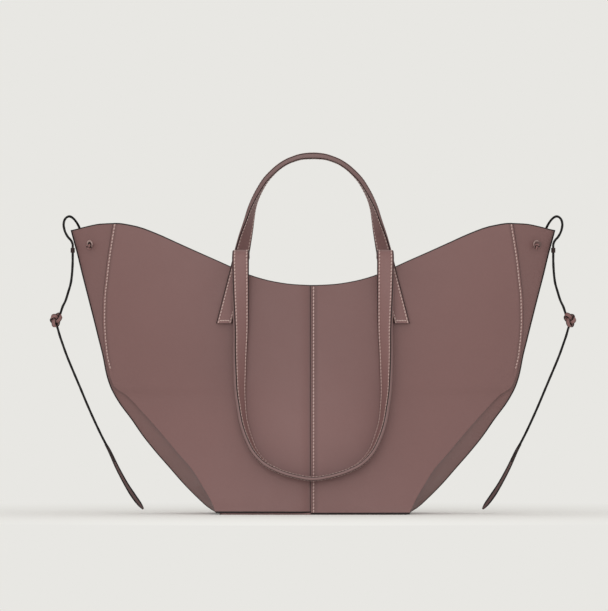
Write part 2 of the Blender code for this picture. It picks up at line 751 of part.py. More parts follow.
def tube(name, route, side):
    """A round lace along its route."""
    curve = bpy.data.curves.new(name, "CURVE")
    curve.dimensions = "3D"
    curve.bevel_depth = LACE_RADIUS
    curve.bevel_resolution = 2
    curve.use_fill_caps = True
    points = smooth_route(route, LACE_POINT_SPACING)
    spline = curve.splines.new("POLY")
    spline.points.add(len(points) - 1)
    for place, point in zip(spline.points, points):
        place.co = (point.x * side, point.y, point.z, 1.0)
    return finish(bpy.data.objects.new(name, curve), LACE_COLOUR, 0.6)


def from_tip(offsets):
    """Points at +X that keep their places by the wing tip."""
    tip = Vector((WING_SPAN / 2, 0.0, WING_HEIGHT))
    return [tip + Vector(offset) for offset in offsets]


def lace_run_route():
    """From the stopper knot through the front and back eyelets, over the wing tip to the keeper."""
    centre, outward = eyelet_place(RIGHT, FRONT)
    front = [centre + outward * reach for reach in EYELET_PASS_REACHES]
    middle = Vector((front[-1].x - LACE_BOW, 0.0, front[-1].z))
    centre, outward = eyelet_place(RIGHT, BACK)
    back = [centre + outward * reach for reach in reversed(EYELET_PASS_REACHES[1:])]
    leaving = centre - outward * EYELET_PASS_REACHES[2]
    return [*front, middle, *back, leaving, *from_tip(LACE_OVER_ROUTE)]


def knot(name, centre, radii):
    """A tied knot, as a rounded lump."""
    bm = bmesh.new()
    bmesh.ops.create_uvsphere(bm, u_segments=12, v_segments=8, radius=1.0)
    bmesh.ops.scale(bm, vec=radii, verts=bm.verts)
    obj = mesh_object(name, bm)
    obj.location = centre
    return finish(obj, LACE_COLOUR, 0.6)


def lace(side):
    """One lace: stopper knot, run through the eyelets, keeper, hanging knot and leaf-shaped tip."""
    name = SIDE_NAMES[side]
    eyelet_centre, outward = eyelet_place(side, FRONT)
    reach = FIT_GAP + EYELET_FLANGE_THICKNESS + FIT_GAP + STOPPER_RADII[0]
    stopper = eyelet_centre + outward * reach
    stopper.z -= STOPPER_RADII[2] - STOPPER_RADII[0]
    knot("stopper_knot_" + name, stopper, STOPPER_RADII)
    tube("lace_run_" + name, lace_run_route(), side)
    tube("lace_upper_" + name, from_tip(LACE_UPPER_ROUTE), side)
    tube("lace_lower_" + name, from_tip(LACE_LOWER_ROUTE), side)
    knot_centre, keeper_centre = from_tip((KNOT_PLACE, KEEPER_PLACE))
    knot("lace_knot_" + name, placed(knot_centre, side, FRONT), KNOT_RADII)
    keeper_profile = (
        (KEEPER_BORE_RADIUS, -KEEPER_HEIGHT / 2), (KEEPER_RADIUS, -KEEPER_HEIGHT / 2),
        (KEEPER_RADIUS, KEEPER_HEIGHT / 2), (KEEPER_BORE_RADIUS, KEEPER_HEIGHT / 2),
    )
    keeper = turned_ring("lace_keeper_" + name, keeper_profile, 14)
    keeper.location = placed(keeper_centre, side, FRONT)
    finish(keeper, LEATHER_COLOUR, 0.5)
    points = smooth_route(from_tip(LACE_TIP_ROUTE), 2 * LACE_POINT_SPACING)
    stations = []
    for centre, direction in zip(points, route_directions(points)):
        through = Vector((0.0, 1.0, 0.0))
        stations.append((centre, direction.cross(through).normalized(), through))
    width_at = smooth_table(TIP_WIDTH_SHARES)

    def section(index):
        width = TIP_WIDTH * width_at(index / (len(stations) - 1))
        return strap_section(width, TIP_THICKNESS, TIP_CHAMFER)

    obj = strip_object("lace_tip_" + name, mirrored_stations(stations, side, FRONT), section)
    finish(obj, LACE_COLOUR, 0.6)


base()
for face in (FRONT, BACK):
    for side in (LEFT, RIGHT):
        wall(side, face)
        patch(side, face)
        eyelet(side, face)
for side in (LEFT, RIGHT):
    gusset(side)
    lace(side)
shoulder_strap()
hand_strap()
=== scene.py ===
"""The winged tote bag in leather: seams, stitching, painted edges, straps, eyelets and laces.

Every length is in metres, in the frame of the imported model. One side of the bag is worked out at
+X and mirrored to -X, and the front is worked out at -Y and mirrored to +Y.
"""

from math import copysign, cos, exp, hypot, pi, radians, sin

import bmesh
import bpy
from mathutils import Matrix, Vector


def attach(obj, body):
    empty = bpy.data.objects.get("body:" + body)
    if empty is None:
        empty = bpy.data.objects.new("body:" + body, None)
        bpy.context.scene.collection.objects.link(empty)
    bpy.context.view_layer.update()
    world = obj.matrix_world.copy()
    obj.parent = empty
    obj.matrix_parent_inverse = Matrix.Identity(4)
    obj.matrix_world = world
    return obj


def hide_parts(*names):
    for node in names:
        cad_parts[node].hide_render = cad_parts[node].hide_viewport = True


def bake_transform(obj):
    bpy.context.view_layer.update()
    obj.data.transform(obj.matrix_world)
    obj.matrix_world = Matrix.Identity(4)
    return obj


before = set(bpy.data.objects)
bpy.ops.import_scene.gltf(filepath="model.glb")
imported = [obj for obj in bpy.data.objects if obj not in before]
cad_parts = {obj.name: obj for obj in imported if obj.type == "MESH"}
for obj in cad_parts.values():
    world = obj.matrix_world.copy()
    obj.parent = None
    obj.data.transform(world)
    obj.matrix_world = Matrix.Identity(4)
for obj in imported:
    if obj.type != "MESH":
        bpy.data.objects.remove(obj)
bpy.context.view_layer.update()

# The photograph's frame, and what one pixel of it measures on the bag
PICTURE_WIDTH, PICTURE_HEIGHT = 608, 611
MIDDLE_COLUMN, FLOOR_ROW = 313.0, 514.0
PIXEL = 0.001031
SCALED_PLANE = -0.030
LENS, SENSOR = 800.0, 36.0

# Body
WING_SPAN = 0.501
WING_HEIGHT = 0.300
MOUTH_HEIGHT = 0.236
MOUTH_DEPTH = 0.118
BASE_LENGTH = 0.197
BASE_DEPTH = 0.165
LEATHER = 0.002
FIT_GAP = 0.0004
SEAM_ALLOWANCE = 0.008
CENTRE_EDGE = 0.0025
CENTRE_TUCK = 0.006
SKIVE_START = 0.0029
SKIVE_LENGTH = 0.0110
LOWER_FACET_HOLLOW = 0.004
CREASE_RIDGE = 0.0009
PAINTED_BAND = 0.0011
PAINTED_HEM = 0.0018
SIDE_LIP = 0.0014
WAIST_HEIGHT = 0.147
BASE_CORNER = 0.004
BASE_RIM = 0.0005

# Straps
STRAP_WIDTH = 0.0175
STRAP_THICKNESS = 0.0045
FOOT_SPACING = 0.154
FOOT_LENGTH = 0.0553
FOOT_SLOPE = 0.2557
BODY_CLEARANCE = 0.0015
HAND_APEX_HEIGHT = 0.370
HAND_BEND_START = 0.254
HAND_BEND_END = 0.272
HAND_LEAN = 0.018
HAND_THINNED = 0.62
HAND_FULL, HAND_FULL_RISE = 1.34, 0.85
HAND_SWELL, HAND_SWELL_WIDTH = 0.20, 0.014
STRAP_CROWN = 0.00025
STRAP_EDGE_RADIUS = 0.62 * STRAP_THICKNESS / 2
LOOP_SPACING = 0.0032
FOLD_HEIGHT = 0.264
FOLD_RADIUS = 0.006
# The sewn foot ends this much below the fold's height, so that the loop clears it when turned up
FOOT_ROOM = 0.0006
SHOULDER_LOW_POINT = 0.037
SETTLED = 0.5
FOOT_CLEAR = 0.2

# Stitching
STITCH_PITCH = 0.0035
STITCH_LENGTH = 0.0031
THREAD = 0.0014
STITCH_DIP = 0.0004
CENTRE_STITCH = 0.0005
SIDE_STITCH_INSET = 0.0023
STRAP_STITCH_INSET = 0.0026
EDGE_ROUNDING = 0.0009
# Free ends of the centre seam, and the side seams' lower end above the waist and their top
SEAM_END = 0.003
SIDE_SEAM_START = 0.004
SIDE_SEAM_TOP = 0.2975

# Patches, eyelets and laces
PATCH_THICKNESS = 0.0012
PATCH_WIDTH = 0.034
PATCH_HEIGHT = 0.062
PATCH_BEDDING = 0.0005
PATCH_ROUNDING = 0.0003
EYELET_HEIGHT = 0.2787
EYELET_ACROSS = 0.6
EYELET_BORE = 0.00185
EYELET_BARREL = 0.0026
EYELET_FLANGE = 0.0041
EYELET_FLANGE_DEPTH = 0.0009
LACE_RADIUS = 0.00125
LACE_SPACING, TIP_SPACING = 0.0016, 0.0022
STOPPER_THONG, KNOT_THONG = 0.00105, 0.0019
KEEPER_RADIUS = 0.0022
KEEPER_BORE = 0.0018
KEEPER_HEIGHT = 0.0050
KEEPER_LIP = 0.0003
STOPPER_SIZE = (0.0030, 0.0024, 0.0034)
STOPPER_SHIFT = (0.0020, 0.0024)
HANGING_KNOT_SIZE = (0.0062, 0.0048, 0.0080)
TIP_WIDTH = 0.0056
TIP_THICKNESS = 0.0022

# Height share against reach share: side crease, then the walls' side edge with its depth share
CREASE_REACH = (
    (0.0, 0.0), (0.021, 0.066), (0.048, 0.126), (0.103, 0.234), (0.158, 0.329), (0.213, 0.424),
    (0.268, 0.511), (0.323, 0.586), (0.378, 0.667), (0.406, 0.701), (0.433, 0.728),
    (0.461, 0.748), (0.488, 0.762), (0.543, 0.783), (0.598, 0.81), (0.653, 0.837), (0.735, 0.878),
    (0.828, 0.925), (0.897, 0.958), (0.949, 0.986), (0.977, 1.0), (1.0, 1.008),
)
EDGE_REACH = (
    (0.0, 0.004, 1.0), (0.013, 0.014, 0.992), (0.039, 0.034, 0.955), (0.106, 0.11, 0.85),
    (0.155, 0.172, 0.76), (0.207, 0.262, 0.645), (0.285, 0.394, 0.465), (0.347, 0.505, 0.315),
    (0.412, 0.632, 0.15), (0.434, 0.7, 0.11), (0.462, 0.724, 0.092), (0.492, 0.741, 0.09),
    (0.526, 0.752, 0.098), (0.567, 0.76, 0.12), (0.608, 0.768, 0.145), (0.663, 0.773, 0.185),
    (0.739, 0.77, 0.25), (0.8, 0.757, 0.31), (0.866, 0.742, 0.365), (0.988, 0.704, 0.46),
    (1.0, 0.7, 0.465),
)
TOP_RISE = (
    (0.0, 0.0), (0.082, 0.016), (0.165, 0.064), (0.247, 0.15), (0.329, 0.285), (0.399, 0.408),
    (0.481, 0.549), (0.563, 0.693), (0.646, 0.838), (0.728, 0.951), (0.81, 1.0), (0.872, 0.992),
    (0.934, 0.95), (1.0, 0.887),
)
# Rise or drop, spread and turn of the two free loops
HAND_ROUTE = (
    (0.0, 0.952, 0.3), (0.129, 0.916, 0.42), (0.234, 0.885, 0.545), (0.339, 0.855, 0.68),
    (0.444, 0.824, 0.785), (0.549, 0.776, 0.88), (0.654, 0.709, 0.935), (0.759, 0.622, 0.97),
    (0.864, 0.49, 1.0), (0.933, 0.362, 1.0), (0.971, 0.245, 1.0), (0.992, 0.145, 1.0),
    (1.0, 0.0, 1.0),
)
SHOULDER_ROUTE = (
    (0.0, 0.968, 0.0), (0.101, 0.968, 0.11), (0.2, 0.967, 0.24), (0.326, 0.965, 0.37),
    (0.419, 0.974, 0.45), (0.51, 0.978, 0.54), (0.6, 0.977, 0.63), (0.668, 0.961, 0.71),
    (0.741, 0.932, 0.77), (0.809, 0.873, 0.81), (0.877, 0.783, 0.88), (0.932, 0.636, 0.95),
    (0.967, 0.442, 1.0), (0.989, 0.221, 1.0), (1.0, 0.0, 1.0),
)
TIP_WIDTHS = (
    (0.0, 0.5), (0.14, 0.64), (0.37, 0.77), (0.62, 0.88), (0.76, 1.0), (0.86, 0.95), (0.92, 0.84),
    (0.965, 0.6), (1.0, 0.3),
)

# Lace routes at +X: through both eyelets and over the wing tip, then down to the knot and the tip
LACE_RUN = (
    (0.23146, -0.01411, 0.2786), (0.23063, -0.01311, 0.2787), (0.22807, -0.01005, 0.279),
    (0.2259, -0.00744, 0.2793), (0.2239, 0.0, 0.2793), (0.2259, 0.00744, 0.2793),
    (0.22807, 0.01005, 0.279), (0.23063, 0.01311, 0.2787), (0.23319, 0.01617, 0.2784),
    (0.2356, 0.0184, 0.28), (0.2382, 0.0184, 0.286), (0.2412, 0.0156, 0.2945),
    (0.2444, 0.0119, 0.3008), (0.2485, 0.0074, 0.3056), (0.2525, 0.0033, 0.307),
    (0.2562, -0.0002, 0.3042), (0.2576, -0.0022, 0.2985), (0.2562, -0.0029, 0.2915),
    (0.2533, -0.0032, 0.286), (0.25, -0.0031, 0.2822), (0.2483, -0.003, 0.2784),
    (0.2482, -0.003, 0.2745), (0.2482, -0.003, 0.271),
)
# It starts a little below the run's end, inside the keeper, so that it can swing
LACE_UPPER = (
    (0.2482, -0.003, 0.27), (0.2482, -0.003, 0.265), (0.2483, -0.003, 0.258),
    (0.2489, -0.003, 0.248), (0.2502, -0.003, 0.238), (0.2529, -0.003, 0.2285),
    (0.2556, -0.003, 0.22), (0.2585, -0.003, 0.214), (0.2604, -0.003, 0.2083),
    (0.2618, -0.0015, 0.204),
)
# The lower stretch runs on a little way inside the leaf-shaped tip
LACE_LOWER = (
    (0.2651, -0.0005, 0.197), (0.2648, -0.002, 0.1945), (0.2635, -0.003, 0.1907),
    (0.2618, -0.003, 0.1846), (0.2596, -0.003, 0.178), (0.2542, -0.003, 0.1629),
    (0.2474, -0.003, 0.1464), (0.2404, -0.003, 0.1299), (0.2335, -0.003, 0.1134),
    (0.2262, -0.003, 0.0969), (0.2184, -0.003, 0.0804), (0.2098, -0.003, 0.0639),
    (0.2048, -0.003, 0.0532),
)
LACE_TIP = (
    (0.2142, -0.003, 0.072), (0.2098, -0.003, 0.0639), (0.2021, -0.003, 0.0474),
    (0.1933, -0.003, 0.0309), (0.1846, -0.003, 0.0172), (0.1752, -0.003, 0.0046),
)
KEEPER_PLACE = (0.24820, -0.00300, 0.2720)
KNOT_PLACE = (0.26550, -0.00300, 0.2003)
KNOT_SHEAR = 0.35

# Colours, linear
LEATHER_TONE = (0.199, 0.1045, 0.0985)
LEATHER_DEEP = (0.174, 0.0910, 0.0858)
# Colour of the painted shade that the shade attribute mixes into the leather
LEATHER_SHADE = (0.052, 0.028, 0.027)
# Painted shade makes the walls' middle a little deeper in tone above the hanging strap's bend:
# how dark, where it is darkest, how wide, and from what height over what rise
MIDDLE_SHADE, MIDDLE_SHADE_X, MIDDLE_SHADE_WIDTH = 0.16, -0.020, 0.130
MIDDLE_SHADE_FROM, MIDDLE_SHADE_RISE = 0.085, 0.080
# Painted shade in lines beside seams and laps: how dark, how far past the seam, and how wide
TUCKED_SHADE = (0.40, 0.0, 0.0007)
LAP_SHADES = ((0.45, 0.0017, 0.0007), (0.35, -0.0013, 0.0006))
SIDE_SEAM_SHADE = (0.40, -0.0015, 0.0008)
LINING_TONE = (0.150, 0.088, 0.082)
EDGE_TONE = (0.009, 0.005, 0.005)
BURNISHED_TONE = (0.190, 0.105, 0.099)
THREAD_TONE = (0.560, 0.400, 0.365)
LACE_TONE = (0.004, 0.003, 0.003)
TIP_TONE = (0.075, 0.043, 0.041)
EYELET_TONE = (0.400, 0.270, 0.250)
BOARD_TONE = (0.120, 0.085, 0.070)
BACKGROUND_TONE = (0.807, 0.799, 0.768)
# What the near floor needs on top of the light that falls on it
FLOOR_TOPPED_UP = 0.10
FLOOR_RADIUS = 4.0
FLOOR_FADE = (0.28, 0.80)
WORLD_TONE = (1.0, 0.995, 0.985)
WORLD_LIGHT = 0.80
# Name, place, width, power and aim
LIGHTS = (
    ("front_panel_light", (-0.4, -3.2, 0.6), 2.4, 29.0, (0.0, 0.0, 0.15)),
    ("low_fill_light", (0.0, -0.9, 0.07), 0.5, 1.1, (0.0, 0.0, 0.05)),
)

FRONT, BACK = -1, 1
LEFT, RIGHT = -1, 1
SIDE_NAMES = {LEFT: "left", RIGHT: "right"}
FACE_NAMES = {FRONT: "front", BACK: "back"}
HEM_LIFT = {RIGHT: 0.0006, LEFT: 0.0018}
INWARD, BACKWARD = Vector((-1.0, 0.0, 0.0)), Vector((0.0, 1.0, 0.0))
# Rounds of each search for a place on the bag's curves
ROUNDS = 12


def smooth_table(table, column=1):
    """A smooth function through a table's column that never overshoots between two points."""
    xs = [row[0] for row in table]
    ys = [row[column] for row in table]
    slopes = [(ys[i + 1] - ys[i]) / (xs[i + 1] - xs[i]) for i in range(len(xs) - 1)]
    tangents = [slopes[0]]
    for before, after in zip(slopes, slopes[1:]):
        tangents.append(2 * before * after / (before + after) if before * after > 0 else 0.0)
    tangents.append(slopes[-1])

    def value(x):
        x = min(max(x, xs[0]), xs[-1])
        i = 0
        while i < len(xs) - 2 and x > xs[i + 1]:
            i += 1
        width = xs[i + 1] - xs[i]
        t = (x - xs[i]) / width
        t2, t3 = t * t, t * t * t
        return (
            ys[i] * (2 * t3 - 3 * t2 + 1) + ys[i + 1] * (3 * t2 - 2 * t3)
            + tangents[i] * width * (t3 - 2 * t2 + t) + tangents[i + 1] * width * (t3 - t2)
        )

    return value


crease_reach = smooth_table(CREASE_REACH)
edge_reach = smooth_table(EDGE_REACH)
edge_depth_share = smooth_table(EDGE_REACH, 2)
top_rise = smooth_table(TOP_RISE)


def ease(t):
    t = min(max(t, 0.0), 1.0)
    return t * t * (3 - 2 * t)


def placed(point, side, face):
    """A point worked out at the front right, mirrored to its side and face."""
    return Vector((point.x * side, -point.y * face, point.z))


def mirrored(stations, side, face):
    return [tuple(placed(item, side, face) for item in station) for station in stations]


def reach_to_x(share):
    return BASE_LENGTH / 2 + share * (WING_SPAN - BASE_LENGTH) / 2


def edge_x(z):
    return reach_to_x(edge_reach(z / WING_HEIGHT))


def top_z(x):
    return MOUTH_HEIGHT + top_rise(abs(x) / (WING_SPAN / 2)) * (WING_HEIGHT - MOUTH_HEIGHT)


def wall_depth(x, z):
    """Distance of a wall's outer face from the middle plane."""
    centre = BASE_DEPTH / 2 - max(z / MOUTH_HEIGHT, 0.0) ** 1.3 * (BASE_DEPTH - MOUTH_DEPTH) / 2
    edge = edge_depth_share(z / WING_HEIGHT) * BASE_DEPTH / 2
    across = x / edge_x(z)
    return centre - (centre - edge) * across * across


def wall_slopes(x, z):
    step = LEATHER / 2
    slope_x = (wall_depth(x + step, z) - wall_depth(x - step, z)) / (2 * step)
    slope_z = (wall_depth(x, z + step) - wall_depth(x, z - step)) / (2 * step)
    return slope_x, slope_z


def wall_point(x, z, inset=0.0):
    """Point of the front wall at +X, moved in level from the outer face by the inset."""
    slope_x, slope_z = wall_slopes(x, z)
    level = hypot(slope_x, 1.0)
    inward = Vector((slope_x, 1.0, 0.0)) / level
    return Vector((x, -wall_depth(x, z), z)) + inward * (inset * hypot(level, slope_z) / level)


def wall_outward(x, z):
    slope_x, slope_z = wall_slopes(x, z)
    return Vector((-slope_x, -1.0, -slope_z)).normalized()


def row_z(x, row, lift):
    return lift + row * (top_z(x) - lift)


def row_x(reach, row, lift):
    """Where a row meets the side edge or the side crease, whichever has this reach."""
    x = reach_to_x(reach(row))
    for _ in range(ROUNDS):
        x = reach_to_x(reach(row_z(x, row, lift) / WING_HEIGHT))
    return x


def smooth_route(points, spacing):
    """Evenly spaced points on a smooth curve through the route's own points, ends kept."""
    points = [Vector(point) for point in points]
    padded = [2 * points[0] - points[1], *points, 2 * points[-1] - points[-2]]
    dense = [points[0]]
    for a, b, c, d in zip(padded, padded[1:], padded[2:], padded[3:]):
        for step in range(1, 17):
            t = step / 16
            dense.append(
                0.5 * (2 * b + (c - a) * t + (2 * a - 5 * b + 4 * c - d) * t**2
                       + (3 * b - a - 3 * c + d) * t**3)
            )
    return evenly(dense, spacing)


def paced(points, spacing, offset=0.0):
    """Even steps along a polyline, as the point before each and its share of the way to the next.

    Without an offset both ends are among them.
    """
    lengths = [0.0]
    for before, after in zip(points, points[1:]):
        lengths.append(lengths[-1] + (after - before).length)
    count = max(2, round(lengths[-1] / spacing))
    steps = []
    index = 0
    for number in range(count if offset else count + 1):
        target = lengths[-1] * (number + offset) / count
        while index < len(points) - 2 and lengths[index + 1] < target:
            index += 1
        span = max(lengths[index + 1] - lengths[index], 1e-12)
        steps.append((index, min((target - lengths[index]) / span, 1.0)))
    return steps


def evenly(points, spacing):
    """Points of a polyline, respaced at one even distance close to the spacing."""
    return [points[i].lerp(points[i + 1], t) for i, t in paced(points, spacing)]


def directions(points):
    """Direction of travel at each point of a route."""
    ends = [points[0], *points, points[-1]]
    return [(after - before).normalized() for before, after in zip(ends, ends[2:])]


def length_of(points):
    return sum((after - before).length for before, after in zip(points, points[1:]))


# Shader maths


class Tone:
    """A value or colour that changes over a surface, as the socket that gives it."""

    def __init__(self, nodes, socket):
        self.nodes = nodes
        self.socket = socket

    def __add__(self, other):
        return self.nodes.node("ShaderNodeMath", {"operation": "ADD"}, {0: self, 1: other})

    def __mul__(self, other):
        return self.nodes.node("ShaderNodeMath", {"operation": "MULTIPLY"}, {0: self, 1: other})


class Nodes:
    """A node tree, to which nodes are added with their settings and inputs."""

    def __init__(self, tree):
        self.tree = tree

    def node(self, kind, settings, inputs, output=0):
        made = self.tree.nodes.new(kind)
        for key, value in settings.items():
            setattr(made, key, value)
        for key, value in inputs.items():
            self.feed(made.inputs[key], value)
        return Tone(self, made.outputs[output])

    def feed(self, socket, value):
        if isinstance(value, Tone):
            self.tree.links.new(value.socket, socket)
        elif socket.type == "RGBA":
            socket.default_value = (*value, 1.0)
        else:
            socket.default_value = value


class Finish(Nodes):
    """One material, built from its own nodes."""

    def __init__(self, name):
        self.material = bpy.data.materials.new(name)
        self.material.use_nodes = True
        super().__init__(self.material.node_tree)
        self.shader = self.tree.nodes["Principled BSDF"]
        self.place = self.node("ShaderNodeTexCoord", {}, {}, "Object")

    def noise(self, scale, detail, roughness):
        return self.node(
            "ShaderNodeTexNoise", {},
            {"Vector": self.place, "Scale": scale, "Detail": detail, "Roughness": roughness},
        )

    def ramp(self, value, low, high):
        """Black up to the low value and white from the high one."""
        shade = self.node("ShaderNodeValToRGB", {}, {"Fac": value})
        ends = shade.socket.node.color_ramp.elements
        ends[0].position, ends[1].position = low, high
        return shade

    def mix(self, share, first, second):
        return self.node("ShaderNodeMix", {"data_type": "RGBA"}, {0: share, 6: first, 7: second}, 2)

    def bump(self, height, strength, distance):
        return self.node(
            "ShaderNodeBump", {}, {"Height": height, "Strength": strength, "Distance": distance}
        )

    def finished(self, colour, roughness, **inputs):
        for name, value in {"Base Color": colour, "Roughness": roughness, **inputs}.items():
            self.feed(self.shader.inputs[name], value)
        return self.material


SHINE = "Specular IOR Level"


def scaled(tone, factor):
    return tuple(c * factor for c in tone)


def grain_leather(name, tone, deep, grain=0.16):
    """Smooth calf leather: soft cloudy tone, fine pores and a faint pebble."""
    finish = Finish(name)
    clouds = finish.ramp(finish.noise(9.0, 4.0, 0.55), 0.30, 0.72)
    flecks = finish.ramp(finish.noise(420.0, 2.0, 0.6), 0.35, 0.75)
    colour = finish.mix(clouds * 0.45 + flecks * 0.22, tone, deep)
    # Painted shade: the mesh's shade attribute darkens the colour toward LEATHER_SHADE
    shade = finish.node("ShaderNodeAttribute", {"attribute_name": "shade"}, {}, "Fac")
    colour = finish.mix(shade, colour, LEATHER_SHADE)
    pebble = finish.node(
        "ShaderNodeTexVoronoi", {"feature": "F1"}, {"Vector": finish.place, "Scale": 620.0}
    )
    height = pebble * 0.6 + finish.noise(1500.0, 2.0, 0.6) * 0.4
    roughness = finish.noise(60.0, 3.0, 0.5) * 0.12 + 0.50
    normal = finish.bump(height, grain, 0.0004)
    return finish.finished(colour, roughness, Normal=normal, **{SHINE: 0.35})


def suede_lining(name):
    """The bare inner side of the leather."""
    finish = Finish(name)
    nap = finish.noise(900.0, 4.0, 0.7)
    clouds = finish.noise(14.0, 4.0, 0.6)
    colour = finish.mix(clouds * 0.6 + nap * 0.4, LINING_TONE, scaled(LINING_TONE, 0.72))
    return finish.finished(colour, nap * 0.1 + 0.82, Normal=finish.bump(nap, 0.35, 0.0006))


def waxed_thread(name):
    finish = Finish(name)
    twist = finish.node(
        "ShaderNodeTexWave", {"wave_type": "BANDS", "bands_direction": "DIAGONAL"},
        {"Vector": finish.place, "Scale": 700.0, "Distortion": 1.0},
    )
    colour = finish.mix(twist * 0.5, THREAD_TONE, scaled(THREAD_TONE, 0.7))
    return finish.finished(colour, twist * 0.1 + 0.5, Normal=finish.bump(twist, 0.3, 0.0002))


def plain_finish(name, tone, factor, noise, roughness, relief=None, **inputs):
    """A finish with one noise (scale, detail, roughness) that sways its tone up to a factor.

    The noise also sways the roughness (how far, from what) and the relief (strength, depth).
    """
    finish = Finish(name)
    sway = finish.noise(*noise)
    if relief:
        inputs["Normal"] = finish.bump(sway, *relief)
    colour = finish.mix(sway, tone, scaled(tone, factor))
    return finish.finished(colour, sway * roughness[0] + roughness[1], **inputs)


BODY_LEATHER = grain_leather("body_leather", LEATHER_TONE, LEATHER_DEEP)
# Painted light: the body leather made a little lighter, which offsets the shade on the straps'
# turned faces
STRAP_LEATHER = grain_leather(
    "strap_leather", scaled(LEATHER_TONE, 1.06), scaled(LEATHER_DEEP, 1.06), 0.12
)
LINING = suede_lining("suede_lining")
PAINTED_EDGE = plain_finish(
    "painted_edge", EDGE_TONE, 1.7, (300.0, 2.0, 0.5), (0.15, 0.42), (0.2, 0.0004), **{SHINE: 0.2}
)
WAXED_THREAD = waxed_thread("waxed_thread")
DARK_LACE, KNOT_LACE, TIP_LACE, KEEPER_LEATHER = (
    plain_finish(
        name, tone, 1.6, (380.0, 3.0, 0.6), (0.18, 0.5), (0.3, 0.0004), **{SHINE: 0.2}
    )
    for name, tone in (
        ("dark_lace", LACE_TONE), ("knot_lace", scaled(LEATHER_TONE, 0.85)),
        ("tip_lace", TIP_TONE), ("keeper_leather", scaled(LEATHER_TONE, 0.10)),
    )
)
# The rubbed middle of a strap's edge, a little paler and smoother than its faces
BURNISHED_EDGE = plain_finish(
    "burnished_edge", BURNISHED_TONE, 0.85, (240.0, 3.0, 0.5), (0.12, 0.42), (0.2, 0.0003)
)
EYELET_METAL = plain_finish(
    "lacquered_eyelet", EYELET_TONE, 0.8, (500.0, 2.0, 0.5), (0.12, 0.3), Metallic=0.35
)
BOARD = plain_finish(
    "pressed_board", BOARD_TONE, 1.5, (260.0, 5.0, 0.65), (0.1, 0.8), (0.25, 0.0005)
)

# A sheet's finishes: leather, lining, painted edges by where they come from, and thread
SHEET_FINISHES = [BODY_LEATHER, LINING, PAINTED_EDGE, PAINTED_EDGE, PAINTED_EDGE, WAXED_THREAD]
SHEET_PAINT, SHEET_THREAD = 2, 5


# Making pieces


def linked(name, data):
    obj = bpy.data.objects.new(name, data)
    bpy.context.scene.collection.objects.link(obj)
    return obj


def new_object(name, bm, materials):
    mesh = bpy.data.meshes.new(name)
    bm.to_mesh(mesh)
    bm.free()
    for material in materials:
        mesh.materials.append(material)
    return linked(name, mesh)


def grid_mesh(columns, rows, place, turned=False, material_at=None):
    """An open grid whose corners are placed by column and row."""
    bm = bmesh.new()
    bmesh.ops.create_grid(bm, x_segments=columns - 1, y_segments=rows - 1, size=0.5)
    spots = {
        v: (round((v.co.x + 0.5) * (columns - 1)), round((v.co.y + 0.5) * (rows - 1)))
        for v in bm.verts
    }
    if material_at:
        for face in bm.faces:
            face.material_index = material_at(*map(min, zip(*(spots[v] for v in face.verts))))
    for vertex, (column, row) in spots.items():
        vertex.co = place(column, row)
    if turned:
        bmesh.ops.reverse_faces(bm, faces=bm.faces)
    return bm


def settled(obj):
    """Applies an object's modifiers to its mesh."""
    evaluated = obj.evaluated_get(bpy.context.evaluated_depsgraph_get())
    mesh = bpy.data.meshes.new_from_object(evaluated)
    obj.modifiers.clear()
    obj.data = mesh
    return obj


def smooth(obj, angle=35.0):
    for polygon in obj.data.polygons:
        polygon.use_smooth = True
    obj.data.set_sharp_from_angle(angle=radians(angle))
    return obj


def sheet(name, grid, thickness=LEATHER, rounding=EDGE_ROUNDING):
    """A grid given its thickness, with lining inside and painted, softened edges."""
    obj = new_object(name, grid, SHEET_FINISHES)
    solidify = obj.modifiers.new("thickness", "SOLIDIFY")
    solidify.thickness = thickness
    solidify.offset = -1.0
    solidify.use_even_offset = True
    solidify.material_offset = 1
    solidify.material_offset_rim = SHEET_PAINT
    bevel = obj.modifiers.new("soft_edges", "BEVEL")
    bevel.width = rounding
    bevel.segments = 2
    bevel.limit_method = "ANGLE"
    bevel.angle_limit = radians(60)
    bevel.material = SHEET_PAINT
    settled(obj)
    for vertex in obj.data.vertices:
        vertex.co.z = max(vertex.co.z, HEM_LIFT[RIGHT] / 2)
    return obj


def paint_shade(obj, shade_at):
    """Stores how much painted shade darkens the leather at each point, which its finish reads."""
    shades = obj.data.attributes.new("shade", "FLOAT", "POINT")
    for vertex, shade in zip(obj.data.vertices, shades.data):
        shade.value = min(max(shade_at(vertex.co), 0.0), 1.0)
    return obj


def line_shade(distance, width):
    return exp(-((distance / width) ** 2))


# A line of painted shade: how dark, how far past the line, and how wide
def shade_band(distance, dark, past, width):
    return dark * line_shade(distance - past, width)


def dressed(obj, body, slot, *nodes):
    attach(obj, body)
    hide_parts(*nodes)
    return obj


def one_stitch():
    """A single stitch lying along X, with a few dozen faces."""
    bm = bmesh.new()
    bmesh.ops.create_uvsphere(
        bm, u_segments=6, v_segments=4, radius=1.0,
        matrix=Matrix.Diagonal((STITCH_LENGTH / 2, THREAD / 2, THREAD * 0.32, 1.0))
        @ Matrix.Rotation(pi / 2, 4, "Y"),
    )
    mesh = bpy.data.meshes.new("stitch")
    bm.to_mesh(mesh)
    bm.free()
    for polygon in mesh.polygons:
        polygon.use_smooth = True
    return mesh


def sew(obj, rows, material_index):
    """Adds rows of stitches, each a list of point, direction of travel and outward direction."""
    stitch = one_stitch()
    for polygon in stitch.polygons:
        polygon.material_index = material_index
    bm = bmesh.new()
    bm.from_mesh(obj.data)
    for row in rows:
        for point, along, outward in row:
            outward = (outward - along * along.dot(outward)).normalized()
            across = along.cross(outward)
            along = (along + across * 0.12).normalized()
            across = along.cross(outward)
            turn = Matrix((along, across, outward)).transposed().to_4x4()
            laid = stitch.copy()
            laid.transform(Matrix.Translation(point) @ turn)
            bm.from_mesh(laid)
            bpy.data.meshes.remove(laid)
    bm.to_mesh(obj.data)
    bm.free()
    bpy.data.meshes.remove(stitch)
    return obj


